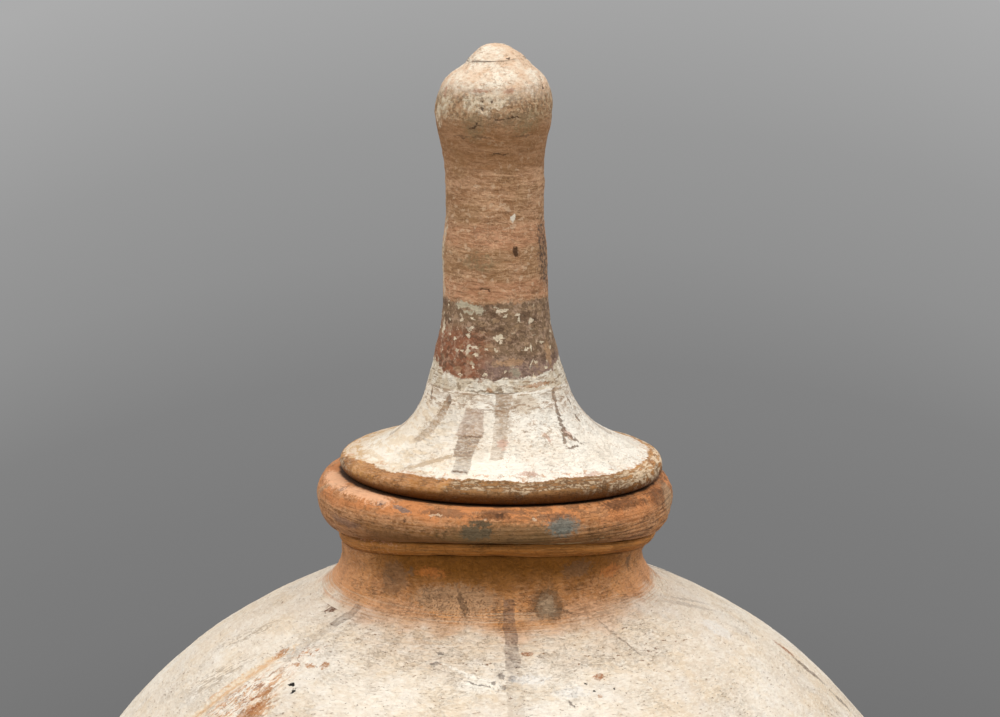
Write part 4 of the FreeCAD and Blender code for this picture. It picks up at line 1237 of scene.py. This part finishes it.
GRIP_MARKS = [
    ((238, 226, 206), 0.9, [(22.1, 470, 0.9, 1.3)]),
    ((172, 122, 96), 0.6, [(-14, 513, 2.8, 0.8), (16, 513.2, 1.8, 0.7), (-62, 512, 1, 2, 20)]),
    (DARK_BROWN, 0.85, [
        (24, 457.8, 1, 1.9, 12), (-12, 445.3, 2.2, 0.4), (27, 522.7, 0.8, 0.4), (-2.5, 509.5, 0.5, 0.5),
        (-11, 507, 0.5, 1, 20), (-13, 510, 0.4, 0.4), (5, 503.8, 1.8, 0.3), (-16, 502.4, 0.6, 0.5),
        (66, 514.6, 0.3, 3, -30), (20, 504.5, 2.6, 0.25), (8, 491.6, 2.6, 0.3),
        (-18, 501.2, 2.2, 0.3, 15)]),
    ((104, 76, 54), 0.6, [(-12, 497.6, 4, 0.4), (-35, 497.5, 3, 0.4), (30, 497.8, 4, 0.3)]),
]
BAND_MARKS = [
    ((208, 196, 168), 0.8, [(-38, 439.6, 3.2, 1.3, 10), (-22, 438.6, 2.6, 1.3, -15), (-30, 437.4, 2, 0.7)]),
    ((232, 214, 186), 0.9, [
        (3, 437.6, 1, 0.5, 20), (9, 438.4, 1.2, 0.35), (24, 436.2, 1.1, 0.5), (25.5, 435.2, 0.35, 1),
        (-26, 432.4, 1.5, 0.5, 20), (1, 428.8, 1.1, 0.6), (4.5, 428, 0.4, 0.9), (-28, 424.6, 1.6, 0.5, 80),
        (-22, 425.6, 1.4, 0.45), (36, 425.2, 1.3, 0.4, 70), (30, 424.8, 1.4, 0.4),
        (33, 419.6, 0.4, 1.7, -25), (40, 434.2, 0.9, 0.9), (-70, 430, 1.2, 2.6)]),
    ((196, 154, 114), 0.6, [(12, 420.8, 4.4, 1.2), (58, 422, 1.6, 4.6)]),
    ((184, 174, 150), 0.65, [(16.9, 417.4, 1.9, 1.9)]),
    ((150, 136, 114), 0.6, [(16.9, 417.4, 1.2, 1.2)]),
    ((178, 122, 78), 0.65, [(38, 412.8, 6.5, 0.7), (-6, 411.6, 1, 1)]),
    ((124, 98, 68), 0.65, [(-14, 411.2, 9, 0.3), (-34, 412.2, 0.8, 1.6, 40), (2, 411.6, 1.4, 0.9)]),
]

body, grip, bare = body_finish("slipped_body", False), grip_finish(), hidden_finish()
turned("foot_ring_clay", "foot_ring", foot_section(), WIDE_COLUMNS, "foot", jar_bend, bare)
turned("lower_body_clay", "lower_body", bottom_section(), WIDE_COLUMNS, "body", jar_bend, body)
turned("upper_body_clay", "upper_body", shoulder_section(), WIDE_COLUMNS, "body", jar_bend, body)
turned("neck_clay", "neck", neck_section(), WIDE_COLUMNS, "collar", jar_bend, body_finish("neck_clay", True))
turned("rim_clay", "rim", rim_section(), WIDE_COLUMNS, "rim", jar_bend, rim_finish())
turned("lid_skirt_clay", "lid_skirt", skirt_section(), WIDE_COLUMNS, "skirt", lid_bend, skirt_finish())
turned("locating_ring_clay", "lid_locating_ring", ring_section(), SLIM_COLUMNS, "skirt", lid_bend, bare)
turned("stem_clay", "lid_stem", stem_section(), SLIM_COLUMNS, "grip", lid_bend, grip)
turned("knob_clay", "lid_knob", knob_section(), SLIM_COLUMNS, "grip", lid_bend, grip)
turned("cap_clay", "knob_cap", cap_section(), SLIM_COLUMNS, "grip", lid_bend, grip)

CAMERA_PLACE = (3.0, -1150.0, 650.5)
CAMERA_PITCH = 11.432
CAMERA_LENS = 122.0
SENSOR_WIDTH = 36.0
NEAREST_SEEN = 0.05
FLOOR_SOLID_TO, FLOOR_GONE_AT = 430.0, 780.0
FLOOR_DROP = 0.5
FLOOR_CORNERS = 96


def make_camera():
    """The photograph's view: a long lens a little over a metre away, looking down on the rim."""
    camera = bpy.data.objects.new("camera", bpy.data.cameras.new("camera"))
    camera.location = Vector(CAMERA_PLACE) * MM
    camera.rotation_euler = (math.radians(90 - CAMERA_PITCH), 0, 0)
    camera.data.lens = CAMERA_LENS
    camera.data.sensor_width = SENSOR_WIDTH
    camera.data.clip_start = NEAREST_SEEN
    bpy.context.scene.collection.objects.link(camera)
    bpy.context.scene.camera = camera


def make_floor():
    """A pale round floor under the jar, which fades out to clear before it reaches the picture."""
    bpy.ops.mesh.primitive_circle_add(vertices=FLOOR_CORNERS, radius=FLOOR_GONE_AT * MM, fill_type="NGON")
    floor = bpy.context.object
    floor.name = "floor"
    f = Finish("floor_paint", JAR_SIDE, jar_bend)
    colour = f.blend(f.patches(90, 0.5, 120, 4), (222, 220, 216), (219, 217, 213))
    seen = f.mask(f.radius, FLOOR_GONE_AT, FLOOR_SOLID_TO)
    shader = f.node("BsdfPrincipled", {}, {"Base Color": colour, "Roughness": 0.9, "Alpha": seen})
    f.node("OutputMaterial", {}, {"Surface": shader})
    floor.data.materials.append(f.material)
    floor.location.z = -FLOOR_DROP * MM


# Lamps: name, place in metres, width in metres, power in watts.
LAMPS = [("over_left", (-1.1, -1.0, 2.0), 1.2, 20.0), ("over_right", (1.3, -0.8, 1.9), 1.2, 16.0)]
LAMP_AIM = (0, 0, 0.4)

# Tones of the light by the height of the way it comes from, and of the backdrop by the height seen.
SKY = [(-1.0, 0.12), (-0.3, 0.22), (0.05, 0.62), (0.35, 0.8), (1.0, 1.0)]
BACKDROP = [
    (-0.297, 113), (-0.258, 121), (-0.233, 124), (-0.199, 130), (-0.164, 144), (-0.13, 152), (-0.099, 163),
    (-0.07, 172),
]


def make_light():
    """Soft studio light: a pale world that is brighter above than below, and large soft lamps over both
    shoulders. The camera sees a grey paper backdrop, lighter towards the top and the sides."""
    world = bpy.data.worlds.new("studio")
    world.use_nodes = True
    p = Paint(world.node_tree)
    way = p.node("TexCoord", {}, {}, "Generated")
    x, z = p.part(way, 0), p.part(way, 2)
    light = p.ramp(z, [(height, (tone, tone, tone, 1.0)) for height, tone in SKY])
    paper = p.ramp(z + x * x * 1.2 - x * 0.03, [(height, (tone,) * 3) for height, tone in BACKDROP])
    seen = p.node("LightPath", {}, {}, "Is Camera Ray")
    shader = p.node("MixShader", {}, {0: seen, 1: p.node("Background", {}, {"Color": light}),
                                      2: p.node("Background", {}, {"Color": paper})})
    p.node("OutputWorld", {}, {"Surface": shader})
    bpy.context.scene.world = world
    for name, place, size, power in LAMPS:
        lamp = bpy.data.objects.new(name, bpy.data.lights.new(name, "AREA"))
        lamp.data.shape, lamp.data.size, lamp.data.energy = "DISK", size, power
        lamp.location = place
        lamp.rotation_euler = (Vector(LAMP_AIM) - lamp.location).to_track_quat("-Z", "Y").to_euler()
        bpy.context.scene.collection.objects.link(lamp)


make_camera()
make_floor()
make_light()
bpy.context.scene.view_settings.view_transform = "Standard"
